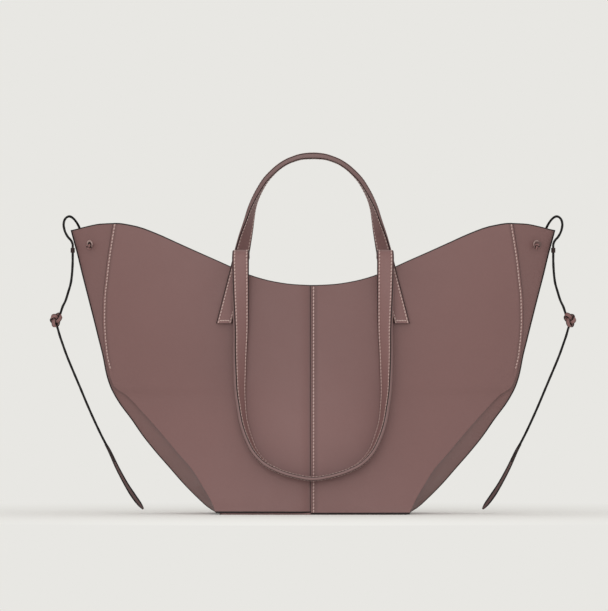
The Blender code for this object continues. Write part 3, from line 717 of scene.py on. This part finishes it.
def stitch_row(points, outward_at, side, face):
    """Stitches spaced evenly along a line of points worked out at the front right."""
    spots = evenly(points, STITCH_PITCH)
    row = [(point, along, outward_at(point)) for point, along in zip(spots, directions(spots))]
    return mirrored(row, side, face)


# Walls and side panels

CENTRE_STEPS = (0.0, 0.0012, 0.0018)
DIP_STEPS = (-0.0010, -0.0005, 0.0, 0.0005, 0.0010, 0.0022, 0.005, 0.010, 0.016)
EDGE_STEPS = (0.012, 0.008, 0.006, 0.0045, 0.0035, 0.0029, 0.0023, 0.0017, 0.0012, 0.0)
MIDDLE_COLUMNS = 26


def row_shares(count, height):
    """Rows from hem to top edge as shares of the height, with a narrow painted band at each end."""
    low, high = PAINTED_HEM / height, 1 - PAINTED_BAND / height
    return [0.0, *(low + (high - low) * i / (count - 3) for i in range(count - 2)), 1.0]


def row_finish(row, count):
    """A grid's rows are painted at the hem and at the top edge."""
    return SHEET_PAINT if row in (0, count - 2) else 0


WALL_ROWS = row_shares(84, 0.27)


def side_lip(z):
    """How far the wall's side edge stands past the side seam, which ends at the waist."""
    return SIDE_LIP * ease((z - WAIST_HEIGHT) / 0.02)


def side_line(z):
    """Where the side seam's stitches lie."""
    return edge_x(z) + side_lip(z) - SIDE_STITCH_INSET


def stitch_dip(distance):
    return STITCH_DIP * line_shade(distance, 0.0009)


def wall(side, face):
    """One half of the front or back wall. The right half laps over the left at the centre seam."""
    lift = HEM_LIFT[side]
    tucked = side == LEFT
    start = -CENTRE_TUCK if tucked else -CENTRE_EDGE
    seam = SKIVE_START + 0.0010 if tucked else CENTRE_STITCH
    first = [start + step for step in CENTRE_STEPS] + [seam + step for step in DIP_STEPS]
    count = len(first) + MIDDLE_COLUMNS + len(EDGE_STEPS)
    rows = len(WALL_ROWS)

    def place(column, row):
        share = WALL_ROWS[row]
        edge = row_x(edge_reach, share, lift)
        edge += side_lip(row_z(edge, share, lift))
        if column < len(first):
            x = first[column]
        elif column < len(first) + MIDDLE_COLUMNS:
            part = (column - len(first) + 1) / (MIDDLE_COLUMNS + 1)
            x = first[-1] + (edge - EDGE_STEPS[0] - first[-1]) * part
        else:
            x = edge - EDGE_STEPS[column - len(first) - MIDDLE_COLUMNS]
        inset = 0.0
        if tucked:
            inset = (LEATHER + FIT_GAP) * (1 - ease((x - SKIVE_START) / SKIVE_LENGTH))
        return placed(wall_point(x, row_z(x, share, lift), inset), side, face)

    grid = grid_mesh(count, rows, place, side * face == 1, lambda _, row: row_finish(row, rows))
    obj = sheet(FACE_NAMES[face] + "_wall_" + SIDE_NAMES[side], grid)
    for polygon in obj.data.polygons:
        x, z = abs(polygon.center.x), polygon.center.z
        below = x > BASE_LENGTH / 2 - BASE_CORNER and BASE_CORNER < z < WAIST_HEIGHT
        if polygon.material_index == SHEET_PAINT and below:
            polygon.material_index = 0
    for vertex in obj.data.vertices:
        x, z = vertex.co.x * side, vertex.co.z
        if wall_depth(x, z) - abs(vertex.co.y) < LEATHER / 4:
            dip = 0.0 if tucked else stitch_dip(x - CENTRE_STITCH)
            if z > WAIST_HEIGHT:
                dip += stitch_dip(side_line(z) - x)
            vertex.co.y -= dip * face
    smooth(obj)

    # Painted shade beside the lap and its stitches, outboard of the side seam, and over the middle
    def shade_at(co):
        x, z = co.x * side, co.z
        if tucked:
            shade = shade_band(x - SKIVE_START, *TUCKED_SHADE)
        else:
            shade = sum(shade_band(x - CENTRE_STITCH, *line) for line in LAP_SHADES)
        if z > WAIST_HEIGHT - 0.01:
            fade = ease((z - WAIST_HEIGHT + 0.01) / 0.03)
            shade += fade * shade_band(x - side_line(z), *SIDE_SEAM_SHADE)
        middle = MIDDLE_SHADE * line_shade(co.x - MIDDLE_SHADE_X, MIDDLE_SHADE_WIDTH)
        return shade + middle * ease((z - MIDDLE_SHADE_FROM) / MIDDLE_SHADE_RISE)

    def stitches(x_at, low, span, steps):
        line = []
        for i in range(steps + 1):
            z = low + span * i / steps
            x = x_at(z)
            line.append(wall_point(x, z) + wall_outward(x, z) * (THREAD * 0.12 - STITCH_DIP))
        return stitch_row(line, lambda p: wall_outward(p.x, p.z), side, face)

    paint_shade(obj, shade_at)
    seams = []
    if not tucked:
        span = MOUTH_HEIGHT - lift - 2 * SEAM_END
        seams.append(stitches(lambda _: CENTRE_STITCH, lift + SEAM_END, span, 120))
    span = SIDE_SEAM_TOP - WAIST_HEIGHT - SIDE_SEAM_START
    seams.append(stitches(side_line, WAIST_HEIGHT + SIDE_SEAM_START, span, 160))
    sew(obj, seams, SHEET_THREAD)
    return dressed(obj, "root", "body_leather", FACE_NAMES[face] + "_panel_" + SIDE_NAMES[side])


def strip_point(row, share, lift):
    """Point of a side panel's front half: the side seam is at share 0, the crease at share 1."""
    edge = row_x(edge_reach, row, lift)
    seam = wall_point(edge, row_z(edge, row, lift), LEATHER + FIT_GAP)
    crease = row_x(crease_reach, row, lift)
    middle = Vector((crease, 0.0, row_z(crease, row, lift)))
    point = seam.lerp(middle, share)
    point.z = row_z(point.x, row, lift)
    hollow = LOWER_FACET_HOLLOW * 2.2 * share**0.45 * (1 - share)
    hollow *= ease(row / 0.055) * ease(2 - 2 * row / 0.434)
    distance = (1 - share) * (middle - seam).length
    ridge = CREASE_RIDGE * ease(distance / 0.0008) * (1 - ease((distance - 0.006) / 0.030))
    return point - Vector((hollow + ridge, 0.0, 0.0))


def eyelet_place(side, face):
    """Centre of an eyelet in the outer face of its side panel, and the outward direction there."""
    lift = HEM_LIFT[side]
    row = 0.5
    for _ in range(ROUNDS):
        row *= EYELET_HEIGHT / strip_point(row, EYELET_ACROSS, lift).z
    centre = strip_point(row, EYELET_ACROSS, lift)
    along = strip_point(row, EYELET_ACROSS + 0.05, lift) - centre
    up = strip_point(row + 0.02, EYELET_ACROSS, lift) - centre
    outward = along.cross(up).normalized()
    if outward.y > 0:
        outward = -outward
    return placed(centre, side, face), placed(outward, side, face)


def set_at(centre, outward):
    """The turn and move that set what is made along Z at its place, facing outward."""
    return Matrix.Translation(centre) @ outward.to_track_quat("Z", "Y").to_matrix().to_4x4()


PANEL_SHARES = (
    0.0, 0.03, 0.06, 0.10, 0.15, 0.21, 0.28, 0.36, 0.45, 0.54, 0.63, 0.72, 0.81, 0.90,
)
CREASE_STEPS = (0.0050, 0.0034, 0.0022, 0.0014, 0.0008, 0.0)
PANEL_ROWS = row_shares(90, 0.28)


def side_panel(side):
    """A folded strip above the waist and a folded triangle below it, with its eyelet holes."""
    lift = HEM_LIFT[side]
    flange = (SEAM_ALLOWANCE, SEAM_ALLOWANCE / 2)
    half = len(flange) + len(PANEL_SHARES) + len(CREASE_STEPS)
    count = 2 * half - 1
    rows = len(PANEL_ROWS)

    def place(column, row):
        face = FRONT if column < half else BACK
        column = min(column, count - 1 - column)
        share = PANEL_ROWS[row]
        edge = row_x(edge_reach, share, lift)
        if column < len(flange):
            x = edge - flange[column]
            return placed(wall_point(x, row_z(x, share, lift), LEATHER + FIT_GAP), side, face)
        crease = row_x(crease_reach, share, lift)
        reach = hypot(crease - edge, wall_depth(edge, row_z(edge, share, lift)))
        column -= len(flange)
        if column < len(PANEL_SHARES):
            across = PANEL_SHARES[column] * (1 - CREASE_STEPS[0] / reach)
        else:
            across = 1 - CREASE_STEPS[column - len(PANEL_SHARES)] / reach
        return placed(strip_point(share, across, lift), side, face)

    def material_at(column, row):
        return SHEET_PAINT if column in (half - 2, half - 1) else row_finish(row, rows)

    grid = grid_mesh(count, rows, place, side == LEFT, material_at)
    obj = sheet("side_panel_" + SIDE_NAMES[side], grid)
    drills = []
    for face in (FRONT, BACK):
        drill = bmesh.new()
        bmesh.ops.create_cone(
            drill, cap_ends=True, segments=28, radius1=EYELET_BARREL, radius2=EYELET_BARREL,
            depth=6 * LEATHER, matrix=set_at(*eyelet_place(side, face)),
        )
        drills.append(new_object("drill", drill, [LINING]))
        cut = obj.modifiers.new("hole", "BOOLEAN")
        cut.operation = "DIFFERENCE"
        cut.solver = "EXACT"
        cut.object = drills[-1]
    settled(obj)
    for drill in drills:
        bpy.data.objects.remove(drill)
    smooth(obj)

    # Painted shade right behind the lower fold, fading outward, and a darker line along the crease
    def shade_at(co):
        below = ease((WAIST_HEIGHT + 0.01 - co.z) / 0.03)
        seam = abs(co.x) - edge_x(min(max(co.z, 0.0), WING_HEIGHT))
        return 0.42 * below * exp(-max(seam, 0.0) / 0.0028) + 0.3 * line_shade(co.y, 0.0020)

    paint_shade(obj, shade_at)
    return dressed(obj, "root", "body_leather", "gusset_" + SIDE_NAMES[side])


def patch(side, face):
    """A leather patch inside the wall, behind a strap foot, sewn round its edge."""
    columns, rows = 14, 24
    middle = foot_centre(top_z(FOOT_SPACING / 2) - PATCH_HEIGHT / 2).x
    inset = LEATHER + FIT_GAP + PATCH_BEDDING

    def spot(u, v):
        x = middle + PATCH_WIDTH * (u - 0.5)
        return x, top_z(x) - LEATHER - PATCH_HEIGHT * (1 - v)

    def place(column, row):
        x, z = spot(column / (columns - 1), row / (rows - 1))
        return placed(wall_point(x, z, inset), side, face)

    name = FACE_NAMES[face] + "_patch_" + SIDE_NAMES[side]
    grid = grid_mesh(columns, rows, place, side * face == 1)
    obj = smooth(sheet(name + "_leather", grid, PATCH_THICKNESS, PATCH_ROUNDING))
    near, low = 0.1, 0.055
    ring = ((near, 1 - low), (near, low), (1 - near, low), (1 - near, 1 - low))
    line = []
    for (u0, v0), (u1, v1) in zip(ring, ring[1:]):
        for i in range(24):
            x, z = spot(u0 + (u1 - u0) * i / 24, v0 + (v1 - v0) * i / 24)
            line.append(wall_point(x, z, inset + PATCH_THICKNESS))
    row = stitch_row(line, lambda p: -wall_outward(p.x, p.z), side, face)
    return dressed(sew(obj, [row], SHEET_THREAD), "root", "patch_leather", name)


def base():
    """The leather base, whose long edges meet the walls' inner faces, and the stiff board on it."""
    tuck = 2 * (LEATHER + FIT_GAP)
    bm = bmesh.new()
    bmesh.ops.create_cube(bm, size=1.0)
    size = Vector((BASE_LENGTH - tuck, BASE_DEPTH - 2 * LEATHER, LEATHER))
    for vertex in bm.verts:
        vertex.co = Vector(a * b for a, b in zip(vertex.co, size)) + Vector((0, 0, LEATHER / 2))

    def soften(edges, offset, segments):
        bmesh.ops.bevel(
            bm, geom=edges, offset=offset, segments=segments, affect="EDGES", profile=0.5,
            material=-1,
        )

    upright = [e for e in bm.edges if abs(e.verts[0].co.z - e.verts[1].co.z) > LEATHER / 2]
    soften(upright, BASE_CORNER, 6)
    rim = [e for e in bm.edges if len(e.link_faces) == 2 and e.calc_face_angle() > 1.0]
    soften(rim, BASE_RIM, 2)
    obj = smooth(new_object("base_leather", bm, [BODY_LEATHER]))
    dressed(obj, "root", "body_leather", "base_panel")
    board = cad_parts["base_board"]
    board.data.materials.clear()
    board.data.materials.append(BOARD)


# Straps

FACE_SIDE, PAINT, CORE, THREADED = 0, 1, 2, 3


def strap_outline():
    """A strap's section: flat faces with a dip along each stitched line, and rounded painted edges.

    Each point is its place across, its place through, and the finish of the strip that it starts.
    """
    half_w, half_t = STRAP_WIDTH / 2, STRAP_THICKNESS / 2
    radius = STRAP_EDGE_RADIUS
    stitch = half_w - STRAP_STITCH_INSET
    marks = [half_w - radius]
    marks += [stitch + offset for offset in (0.0010, 0.0005, 0.0, -0.0005, -0.0010)]
    marks += [stitch * share for share in (0.72, 0.42, 0.14)]
    across = marks + [-m for m in reversed(marks)]
    rim = (PAINT, PAINT, CORE, CORE, CORE, CORE, PAINT, PAINT)
    outline = []
    for way in (1, -1):
        for u in across:
            crown = STRAP_CROWN * (1 - (u / half_w) ** 2)
            height = half_t - STRAP_CROWN + crown - stitch_dip(abs(u) - stitch)
            outline.append((u * way, height * way, FACE_SIDE))
        outline[-1] = (*outline[-1][:2], rim[0])
        for i in range(1, 8):
            angle = pi / 2 + pi * i / 8
            u = -(half_w - radius) + radius * cos(angle)
            outline.append((u * way, (half_t - STRAP_CROWN) * sin(angle) * way, rim[i]))
    return outline


STRAP_OUTLINE = strap_outline()


def swept(name, stations, outline_at, materials, capped=True):
    """A closed band swept through stations of centre, width direction and thickness direction."""
    first = outline_at(0)
    count = len(first)

    def place(column, row):
        u, v, _ = outline_at(row)[column % count]
        centre, across, through = stations[row]
        return centre + across * u + through * v

    def material_at(column, _):
        return first[column % count][2]

    bm = grid_mesh(count + 1, len(stations), place, material_at=material_at)
    bmesh.ops.remove_doubles(bm, verts=bm.verts, dist=1e-7)
    if capped:
        rims = [e for e in bm.edges if e.is_boundary]
        made = bmesh.ops.holes_fill(bm, edges=rims, sides=0)
        for face in made["faces"]:
            face.material_index = PAINT
    bmesh.ops.recalc_face_normals(bm, faces=bm.faces)
    return smooth(new_object(name, bm, materials), 50.0)


def strap_stitches(stations, fullness):
    """Two rows of stitches along each face of a strap."""
    rows = []
    offset = STRAP_WIDTH / 2 - STRAP_STITCH_INSET
    for sign, way in ((1, 1), (1, -1), (-1, 1), (-1, -1)):
        line = []
        for number, (centre, across, through) in enumerate(stations):
            rise = STRAP_THICKNESS / 2 * fullness(number) - STITCH_DIP + THREAD * 0.1
            line.append(centre + across * offset * sign + through * rise * way)
        row = []
        for i, t in paced(line, STITCH_PITCH, 0.5):
            outward = stations[i][2].lerp(stations[i + 1][2], t) * way
            along = (line[i + 1] - line[i]).normalized()
            row.append((line[i].lerp(line[i + 1], t), along, outward))
        rows.append(row)
    return rows


def strap_piece(name, stations, capped, extra_rows=(), fullness=lambda row: 1.0):
    """One stretch of strap. Fullness is its thickness at a station, as a share of the plain one."""

    def outline_at(row):
        return [(u, v * fullness(row), finish) for u, v, finish in STRAP_OUTLINE]

    finishes = [STRAP_LEATHER, PAINTED_EDGE, BURNISHED_EDGE, WAXED_THREAD]
    obj = swept(name, stations, outline_at, finishes, capped)
    return sew(obj, [*strap_stitches(stations, fullness), *extra_rows], THREADED)


def foot_centre(z):
    """Middle of a strap foot on the front wall, which slopes inward as it rises."""
    x = FOOT_SPACING / 2 - FOOT_SLOPE * (z - top_z(FOOT_SPACING / 2))
    return Vector((x, -wall_depth(x, z) - FIT_GAP - STRAP_THICKNESS / 2, z))


def across_wall(point):
    step = LEATHER
    change = wall_depth(point.x + step, point.z) - wall_depth(point.x - step, point.z)
    return Vector((-1.0, change / (2 * step), 0.0)).normalized()


def square_to(direction, across):
    return (across - direction * across.dot(direction)).normalized()


def foot_stations(top):
    bottom = top_z(FOOT_SPACING / 2) - FOOT_LENGTH
    count = 24
    centres = [foot_centre(bottom + (top - bottom) * i / count) for i in range(count + 1)]
    stations = []
    for centre, direction in zip(centres, directions(centres)):
        across = across_wall(centre)
        stations.append((centre, across, direction.cross(across).normalized()))
    return stations


def fold_stations():
    """The shoulder strap's fold, from the top of its foot over to its hanging part."""
    leg = foot_centre(FOLD_HEIGHT)
    x_after = SHOULDER_ROUTE[0][1] * FOOT_SPACING / 2
    hinge_y = leg.y - FOLD_RADIUS
    count = 18
    stations = [(foot_centre(FOLD_HEIGHT - FOOT_ROOM), INWARD, BACKWARD)]
    for i in range(count + 1):
        angle = pi * i / count
        x = leg.x + (x_after - leg.x) * i / count
        outward = Vector((0.0, cos(angle), sin(angle)))
        centre = Vector((x, hinge_y, FOLD_HEIGHT)) + outward * FOLD_RADIUS
        across = across_wall(leg).lerp(INWARD, i / count)
        stations.append((centre, square_to(outward, across), outward))
    return stations


def shoulder_centre(drop, spread, turn):
    """Middle of the hanging shoulder strap, which leans on the front wall as it twists."""
    z = FOLD_HEIGHT - drop * (FOLD_HEIGHT - SHOULDER_LOW_POINT)
    x = spread * FOOT_SPACING / 2
    angle = turn * pi / 2
    stand_off = STRAP_WIDTH / 2 * sin(angle) + STRAP_THICKNESS / 2 * cos(angle)
    foot_room = (FIT_GAP + STRAP_THICKNESS) * (1 - ease((drop - FOOT_CLEAR) / SETTLED))
    y = -wall_depth(x, z) - BODY_CLEARANCE - stand_off - foot_room
    y_start = foot_centre(FOLD_HEIGHT).y - 2 * FOLD_RADIUS
    return Vector((x, y_start + (y - y_start) * ease(drop / SETTLED), z))


def looped_stations(table, centre_at, sense):
    """Stations of a whole strap loop, from one side over the middle to the other."""
    half = [centre_at(*row) for row in table]
    whole = half + [Vector((-p.x, p.y, p.z)) for p in reversed(half[:-1])]
    centres = smooth_route(whole, LOOP_SPACING)
    turn_at = smooth_table(table, 2)
    low, high = half[0].z, half[-1].z
    stations = []
    for centre, direction in zip(centres, directions(centres)):
        angle = turn_at((centre.z - low) / (high - low)) * pi / 2
        level = direction.cross(BACKWARD).normalized()
        inward = level if level.x * centre.x < 0 else -level
        across = square_to(direction, inward * cos(angle) + BACKWARD * sense * sin(angle))
        stations.append((centre, across, direction.cross(across)))
    return stations


def strap_foot(kind, side, face, top):
    """One sewn foot of a strap, with a row of stitches across its lower end."""
    foot = mirrored(foot_stations(top), side, face)
    offset = STRAP_WIDTH / 2 - STRAP_STITCH_INSET
    centre, across, through = foot[1]
    rise = STRAP_THICKNESS / 2 - STITCH_DIP * 0.3
    row = []
    for i in range(4):
        share = (i + 0.5) / 4 * 2 - 1
        row.append((centre + across * offset * share * 0.86 + through * rise, across, through))
    obj = strap_piece(kind + "_foot_" + SIDE_NAMES[side], foot, True, [row])
    dressed(obj, "root", "strap_leather", kind + "_strap_foot_" + SIDE_NAMES[side])


def shoulder_strap():
    for side in (LEFT, RIGHT):
        name = SIDE_NAMES[side]
        strap_foot("shoulder", side, FRONT, FOLD_HEIGHT - FOOT_ROOM)
        fold = mirrored(fold_stations(), side, FRONT)
        obj = strap_piece("shoulder_fold_" + name, fold, False)
        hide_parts("shoulder_strap_fold_" + name)
        leg = foot_centre(FOLD_HEIGHT).y
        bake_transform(obj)
    stations = looped_stations(SHOULDER_ROUTE, shoulder_centre, 1.0)
    obj = strap_piece("shoulder_loop_strap", stations, False)
    dressed(obj, "shoulder_loop", "strap_leather", "shoulder_strap")


def hand_centre(rise, spread, _):
    """Middle of the standing hand strap, worked out at the front and mirrored to the back."""
    z = HAND_BEND_END + rise * (HAND_APEX_HEIGHT - HAND_BEND_END)
    y = foot_centre(HAND_BEND_END).y + HAND_LEAN * rise**1.5
    return Vector((spread * FOOT_SPACING / 2, y, z))


def hand_strap():
    arch = looped_stations(HAND_ROUTE, hand_centre, -1.0)
    bottom, top = foot_centre(HAND_BEND_START), hand_centre(*HAND_ROUTE[0])
    count = 8
    centres = [bottom.lerp(top, i / count) for i in range(count + 1)]
    bend = []
    for i, (centre, direction) in enumerate(zip(centres, directions(centres))):
        across = across_wall(bottom).slerp(arch[0][1], i / count)
        bend.append((centre, across, direction.cross(across).normalized()))
    for side in (LEFT, RIGHT):
        name = SIDE_NAMES[side]
        strap_foot("hand", side, BACK, HAND_BEND_START)
        thinned = strap_piece(
            "hand_bend_" + name, mirrored(bend, side, BACK), False,
            fullness=lambda row: 1 + (HAND_THINNED - 1) * row / count,
        )
        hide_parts("hand_strap_bend_" + name)
        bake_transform(thinned)
    low, high = arch[0][0].z, max(station[0].z for station in arch)

    def fullness(row):
        rise = (arch[row][0].z - low) / (high - low)
        full = HAND_THINNED + (HAND_FULL - HAND_THINNED) * ease(rise / HAND_FULL_RISE)
        return full + HAND_SWELL * line_shade(arch[row][0].x, HAND_SWELL_WIDTH)

    obj = strap_piece("hand_loop_strap", mirrored(arch, RIGHT, BACK), False, (), fullness)
    dressed(obj, "hand_loop", "strap_leather", "hand_strap")


# Eyelets and laces


def turned_ring(name, profile, segments, place, material):
    """A closed ring turned about Z from its profile of radius and height, then set in place."""
    bm = bmesh.new()
    corners = [bm.verts.new((radius, 0.0, height)) for radius, height in profile]
    edges = [bm.edges.new((corners[i - 1], corners[i])) for i in range(len(corners))]
    bmesh.ops.spin(
        bm, geom=corners + edges, cent=(0, 0, 0), axis=(0, 0, 1), angle=2 * pi, steps=segments,
        use_merge=True,
    )
    bmesh.ops.remove_doubles(bm, verts=bm.verts, dist=1e-6)
    bmesh.ops.recalc_face_normals(bm, faces=bm.faces)
    bmesh.ops.transform(bm, matrix=place, verts=bm.verts)
    return smooth(new_object(name, bm, [material]), 40.0)


def eyelet(side, face):
    """A lacquered ring with a rolled flange on each face of the leather."""
    centre, outward = eyelet_place(side, face)
    outer = FIT_GAP
    inner = outer - LEATHER - 2 * FIT_GAP
    middle = (EYELET_FLANGE + EYELET_BORE) / 2
    rolled = [
        (middle + (EYELET_FLANGE - EYELET_BORE) / 2 * cos(a), outer + EYELET_FLANGE_DEPTH * sin(a))
        for a in (pi * i / 10 for i in range(11))
    ]
    profile = [
        (EYELET_BORE, inner - EYELET_FLANGE_DEPTH), (EYELET_FLANGE, inner - EYELET_FLANGE_DEPTH),
        (EYELET_FLANGE, inner), (EYELET_BARREL, inner), (EYELET_BARREL, outer), *rolled,
    ]
    name = FACE_NAMES[face] + "_" + SIDE_NAMES[side]
    place = set_at(centre, outward)
    obj = turned_ring("eyelet_ring_" + name, profile, 40, place, EYELET_METAL)
    dressed(obj, "root", "eyelet", "eyelet_" + name)


def thong(name, points, radius, material):
    """A leather thong along its points, a little uneven in thickness."""
    curve = bpy.data.curves.new(name, "CURVE")
    curve.dimensions = "3D"
    curve.bevel_depth = radius
    curve.bevel_resolution = 4
    curve.use_fill_caps = True
    spline = curve.splines.new("POLY")
    spline.points.add(len(points) - 1)
    for i, (place, point) in enumerate(zip(spline.points, points)):
        place.co = (*point, 1.0)
        place.radius = 1.0 + 0.05 * sin(i * 0.9) * sin(i * 0.23)
    curve.materials.append(material)
    return linked(name, curve)


def tied_knot(name, centre, size, thickness, lean, facing=None, shear=0.0):
    """A knot tied in a flat lace and drawn up tight: three crossing turns, leaning to one side."""
    reach_x, reach_y, reach_z = (half - thickness for half in size)
    turn = Matrix.Rotation(lean, 3, "Y")
    if facing is not None:
        turn = (-facing).to_track_quat("Y", "Z").to_matrix() @ turn
    spots = []
    for i in range(97):
        a = 2 * pi * (i % 96) / 96
        across = (sin(a) + 2 * sin(2 * a)) / 2.7
        up = (cos(a) - 2 * cos(2 * a)) / 2.7
        spot = turn @ Vector((across * reach_x, -sin(3 * a) * reach_y, up * reach_z))
        spot.x += shear * spot.z
        spots.append(spot)
    stations = []
    for before, spot, after in zip(spots[-2:] + spots, spots, spots[1:] + spots[1:2]):
        along = (after - before).normalized()
        outward = Vector((spot.x / reach_x**2, spot.y * 2 / reach_y**2, spot.z / reach_z**2))
        through = square_to(along, outward)
        stations.append((centre + spot, along.cross(through), through))
    section = []
    for i in range(16):
        angle = 2 * pi * i / 16
        dark = int(abs(cos(angle + pi / 16)) > 0.72)
        section.append((thickness * 1.2 * cos(angle), thickness * 0.62 * sin(angle), dark))
    return swept(name, stations, lambda _: section, [KNOT_LACE, DARK_LACE], False)


def at_side(route, side):
    return [Vector((x * side, y, z)) for x, y, z in route]


def lace_stretch(side, part, route, body):
    """One stretch of a lace, and the points along its middle."""
    name = SIDE_NAMES[side]
    points = smooth_route(at_side(route, side), LACE_SPACING)
    obj = thong(name + "_lace_" + part, points, LACE_RADIUS, DARK_LACE)
    return dressed(obj, body, "lace_leather", "lace_" + part + "_" + name), points


def keeper(side):
    """The loop at the wing tip that holds the lace."""
    bore, rim, half, lip = KEEPER_BORE, KEEPER_RADIUS, KEEPER_HEIGHT / 2, KEEPER_LIP
    profile = [
        (bore, lip - half), (bore + lip, -half), (rim - lip, -half), (rim, lip - half),
        (rim, half - lip), (rim - lip, half), (bore + lip, half), (bore, half - lip),
    ]
    place = Matrix.Translation(at_side([KEEPER_PLACE], side)[0])
    name = SIDE_NAMES[side]
    obj = turned_ring("lace_loop_" + name, profile, 28, place, KEEPER_LEATHER)
    dressed(obj, "root", "strap_leather", "lace_keeper_" + name)


def lace_tip(side, body):
    """The leaf-shaped tip of a lace."""
    points = smooth_route(at_side(LACE_TIP, side), TIP_SPACING)
    stations = [
        (centre, direction.cross(BACKWARD).normalized(), BACKWARD)
        for centre, direction in zip(points, directions(points))
    ]
    width_at = smooth_table(TIP_WIDTHS)

    def outline(row):
        half_w = TIP_WIDTH * width_at(row / (len(stations) - 1)) / 2
        result = []
        for i in range(24):
            angle, middle = 2 * pi * i / 24, 2 * pi * (i + 0.5) / 24
            u, v = (copysign(abs(c) ** 0.6, c) for c in (cos(angle), sin(angle)))
            result.append((half_w * u, TIP_THICKNESS / 2 * v, int(abs(cos(middle)) > 0.35)))
        return result

    name = SIDE_NAMES[side]
    obj = swept(name + "_lace_tip", stations, outline, [TIP_LACE, DARK_LACE])
    return dressed(obj, body, "lace_leather", "lace_tip_" + name)


def lace(side):
    """One lace: stopper knot, run through the eyelets, keeper, hanging knot and leaf-shaped tip."""
    name = SIDE_NAMES[side]
    body = name + "_lace"
    eyelet_centre, outward = eyelet_place(side, FRONT)
    inward = Vector((outward.y * side, -outward.x * side, 0.0)).normalized()
    place = eyelet_centre + outward * (2 * FIT_GAP + EYELET_FLANGE_DEPTH + STOPPER_SIZE[1])
    place += inward * STOPPER_SHIFT[0] - Vector((0.0, 0.0, STOPPER_SHIFT[1]))
    stopper = tied_knot(name + "_stopper", place, STOPPER_SIZE, STOPPER_THONG, side * 0.5, outward)
    dressed(stopper, "root", "lace_leather", "stopper_knot_" + name)
    run, run_points = lace_stretch(side, "run", LACE_RUN, "root")
    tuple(run_points[0])
    length_of(run_points)
    keeper(side)
    upper, upper_points = lace_stretch(side, "upper", LACE_UPPER, body)
    knot = tied_knot(
        name + "_hanging_knot", at_side([KNOT_PLACE], side)[0], HANGING_KNOT_SIZE, KNOT_THONG,
        side * 0.30, shear=-side * KNOT_SHEAR,
    )
    dressed(knot, body, "lace_leather", "lace_knot_" + name)
    lower, lower_points = lace_stretch(side, "lower", LACE_LOWER, body)
    tip = lace_tip(side, body)
    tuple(upper_points[0])
    length_of(upper_points)
    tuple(lower_points[0])
    length_of(lower_points)


# Camera, light, floor and background


def camera():
    data = bpy.data.cameras.new("front_view")
    data.lens = LENS
    data.sensor_width = SENSOR
    data.clip_start, data.clip_end = 0.1, 60.0
    obj = linked("front_view", data)
    distance = LENS / SENSOR * max(PICTURE_WIDTH, PICTURE_HEIGHT) * PIXEL
    x = (PICTURE_WIDTH / 2 - MIDDLE_COLUMN) * PIXEL
    z = (FLOOR_ROW - PICTURE_HEIGHT / 2) * PIXEL
    obj.location = (x, SCALED_PLANE - distance, z)
    obj.rotation_euler = (pi / 2, 0.0, 0.0)
    bpy.context.scene.camera = obj


def soft_light(name, place, size, power, aim):
    data = bpy.data.lights.new(name, "AREA")
    data.shape = "DISK"
    data.size = size
    data.energy = power
    obj = linked(name, data)
    obj.location = place
    obj.rotation_euler = (Vector(aim) - Vector(place)).to_track_quat("-Z", "Y").to_euler()
    obj.visible_camera = False


def background():
    """Pale surroundings: what the camera sees is the photograph's plain backdrop."""
    world = bpy.data.worlds.new("studio")
    bpy.context.scene.world = world
    world.use_nodes = True
    world.node_tree.nodes.clear()
    nodes = Nodes(world.node_tree)
    seen = nodes.node("ShaderNodeBackground", {}, {"Color": BACKGROUND_TONE})
    lit = nodes.node("ShaderNodeBackground", {}, {"Color": WORLD_TONE, "Strength": WORLD_LIGHT})
    share = nodes.node("ShaderNodeLightPath", {}, {}, "Is Camera Ray")
    path = share.socket.node
    for kind in ("Is Glossy Ray", "Is Transmission Ray"):
        other = Tone(nodes, path.outputs[kind])
        share = nodes.node("ShaderNodeMath", {"operation": "MAXIMUM"}, {0: share, 1: other})
    shown = nodes.node("ShaderNodeMixShader", {}, {0: share, 1: lit, 2: seen})
    nodes.feed(nodes.tree.nodes.new("ShaderNodeOutputWorld").inputs["Surface"], shown)


def floor():
    """A pale floor that takes the bag's shadow and fades into the backdrop."""
    bm = bmesh.new()
    bmesh.ops.create_circle(bm, cap_ends=True, radius=FLOOR_RADIUS, segments=96)
    finish = Finish("pale_floor")
    glow = finish.node("ShaderNodeEmission", {}, {"Color": BACKGROUND_TONE})
    length = {"operation": "LENGTH"}
    radius = finish.node("ShaderNodeVectorMath", length, {0: finish.place}, "Value")
    far = finish.ramp(radius, *FLOOR_FADE)
    finish.finished(
        BACKGROUND_TONE, 0.9,
        **{SHINE: 0.0, "Emission Color": BACKGROUND_TONE, "Emission Strength": FLOOR_TOPPED_UP},
    )
    near = Tone(finish, finish.shader.outputs[0])
    shown = finish.node("ShaderNodeMixShader", {}, {0: far, 1: near, 2: glow})
    finish.feed(finish.tree.nodes["Material Output"].inputs["Surface"], shown)
    new_object("pale_floor", bm, [finish.material])


camera()
for side in (LEFT, RIGHT):
    lace(side)
background()
floor()
for light in LIGHTS:
    soft_light(*light)
base()
for face in (FRONT, BACK):
    for side in (LEFT, RIGHT):
        wall(side, face)
        patch(side, face)
        eyelet(side, face)
for side in (LEFT, RIGHT):
    side_panel(side)
shoulder_strap()
hand_strap()

bpy.context.scene.view_settings.view_transform = "Standard"
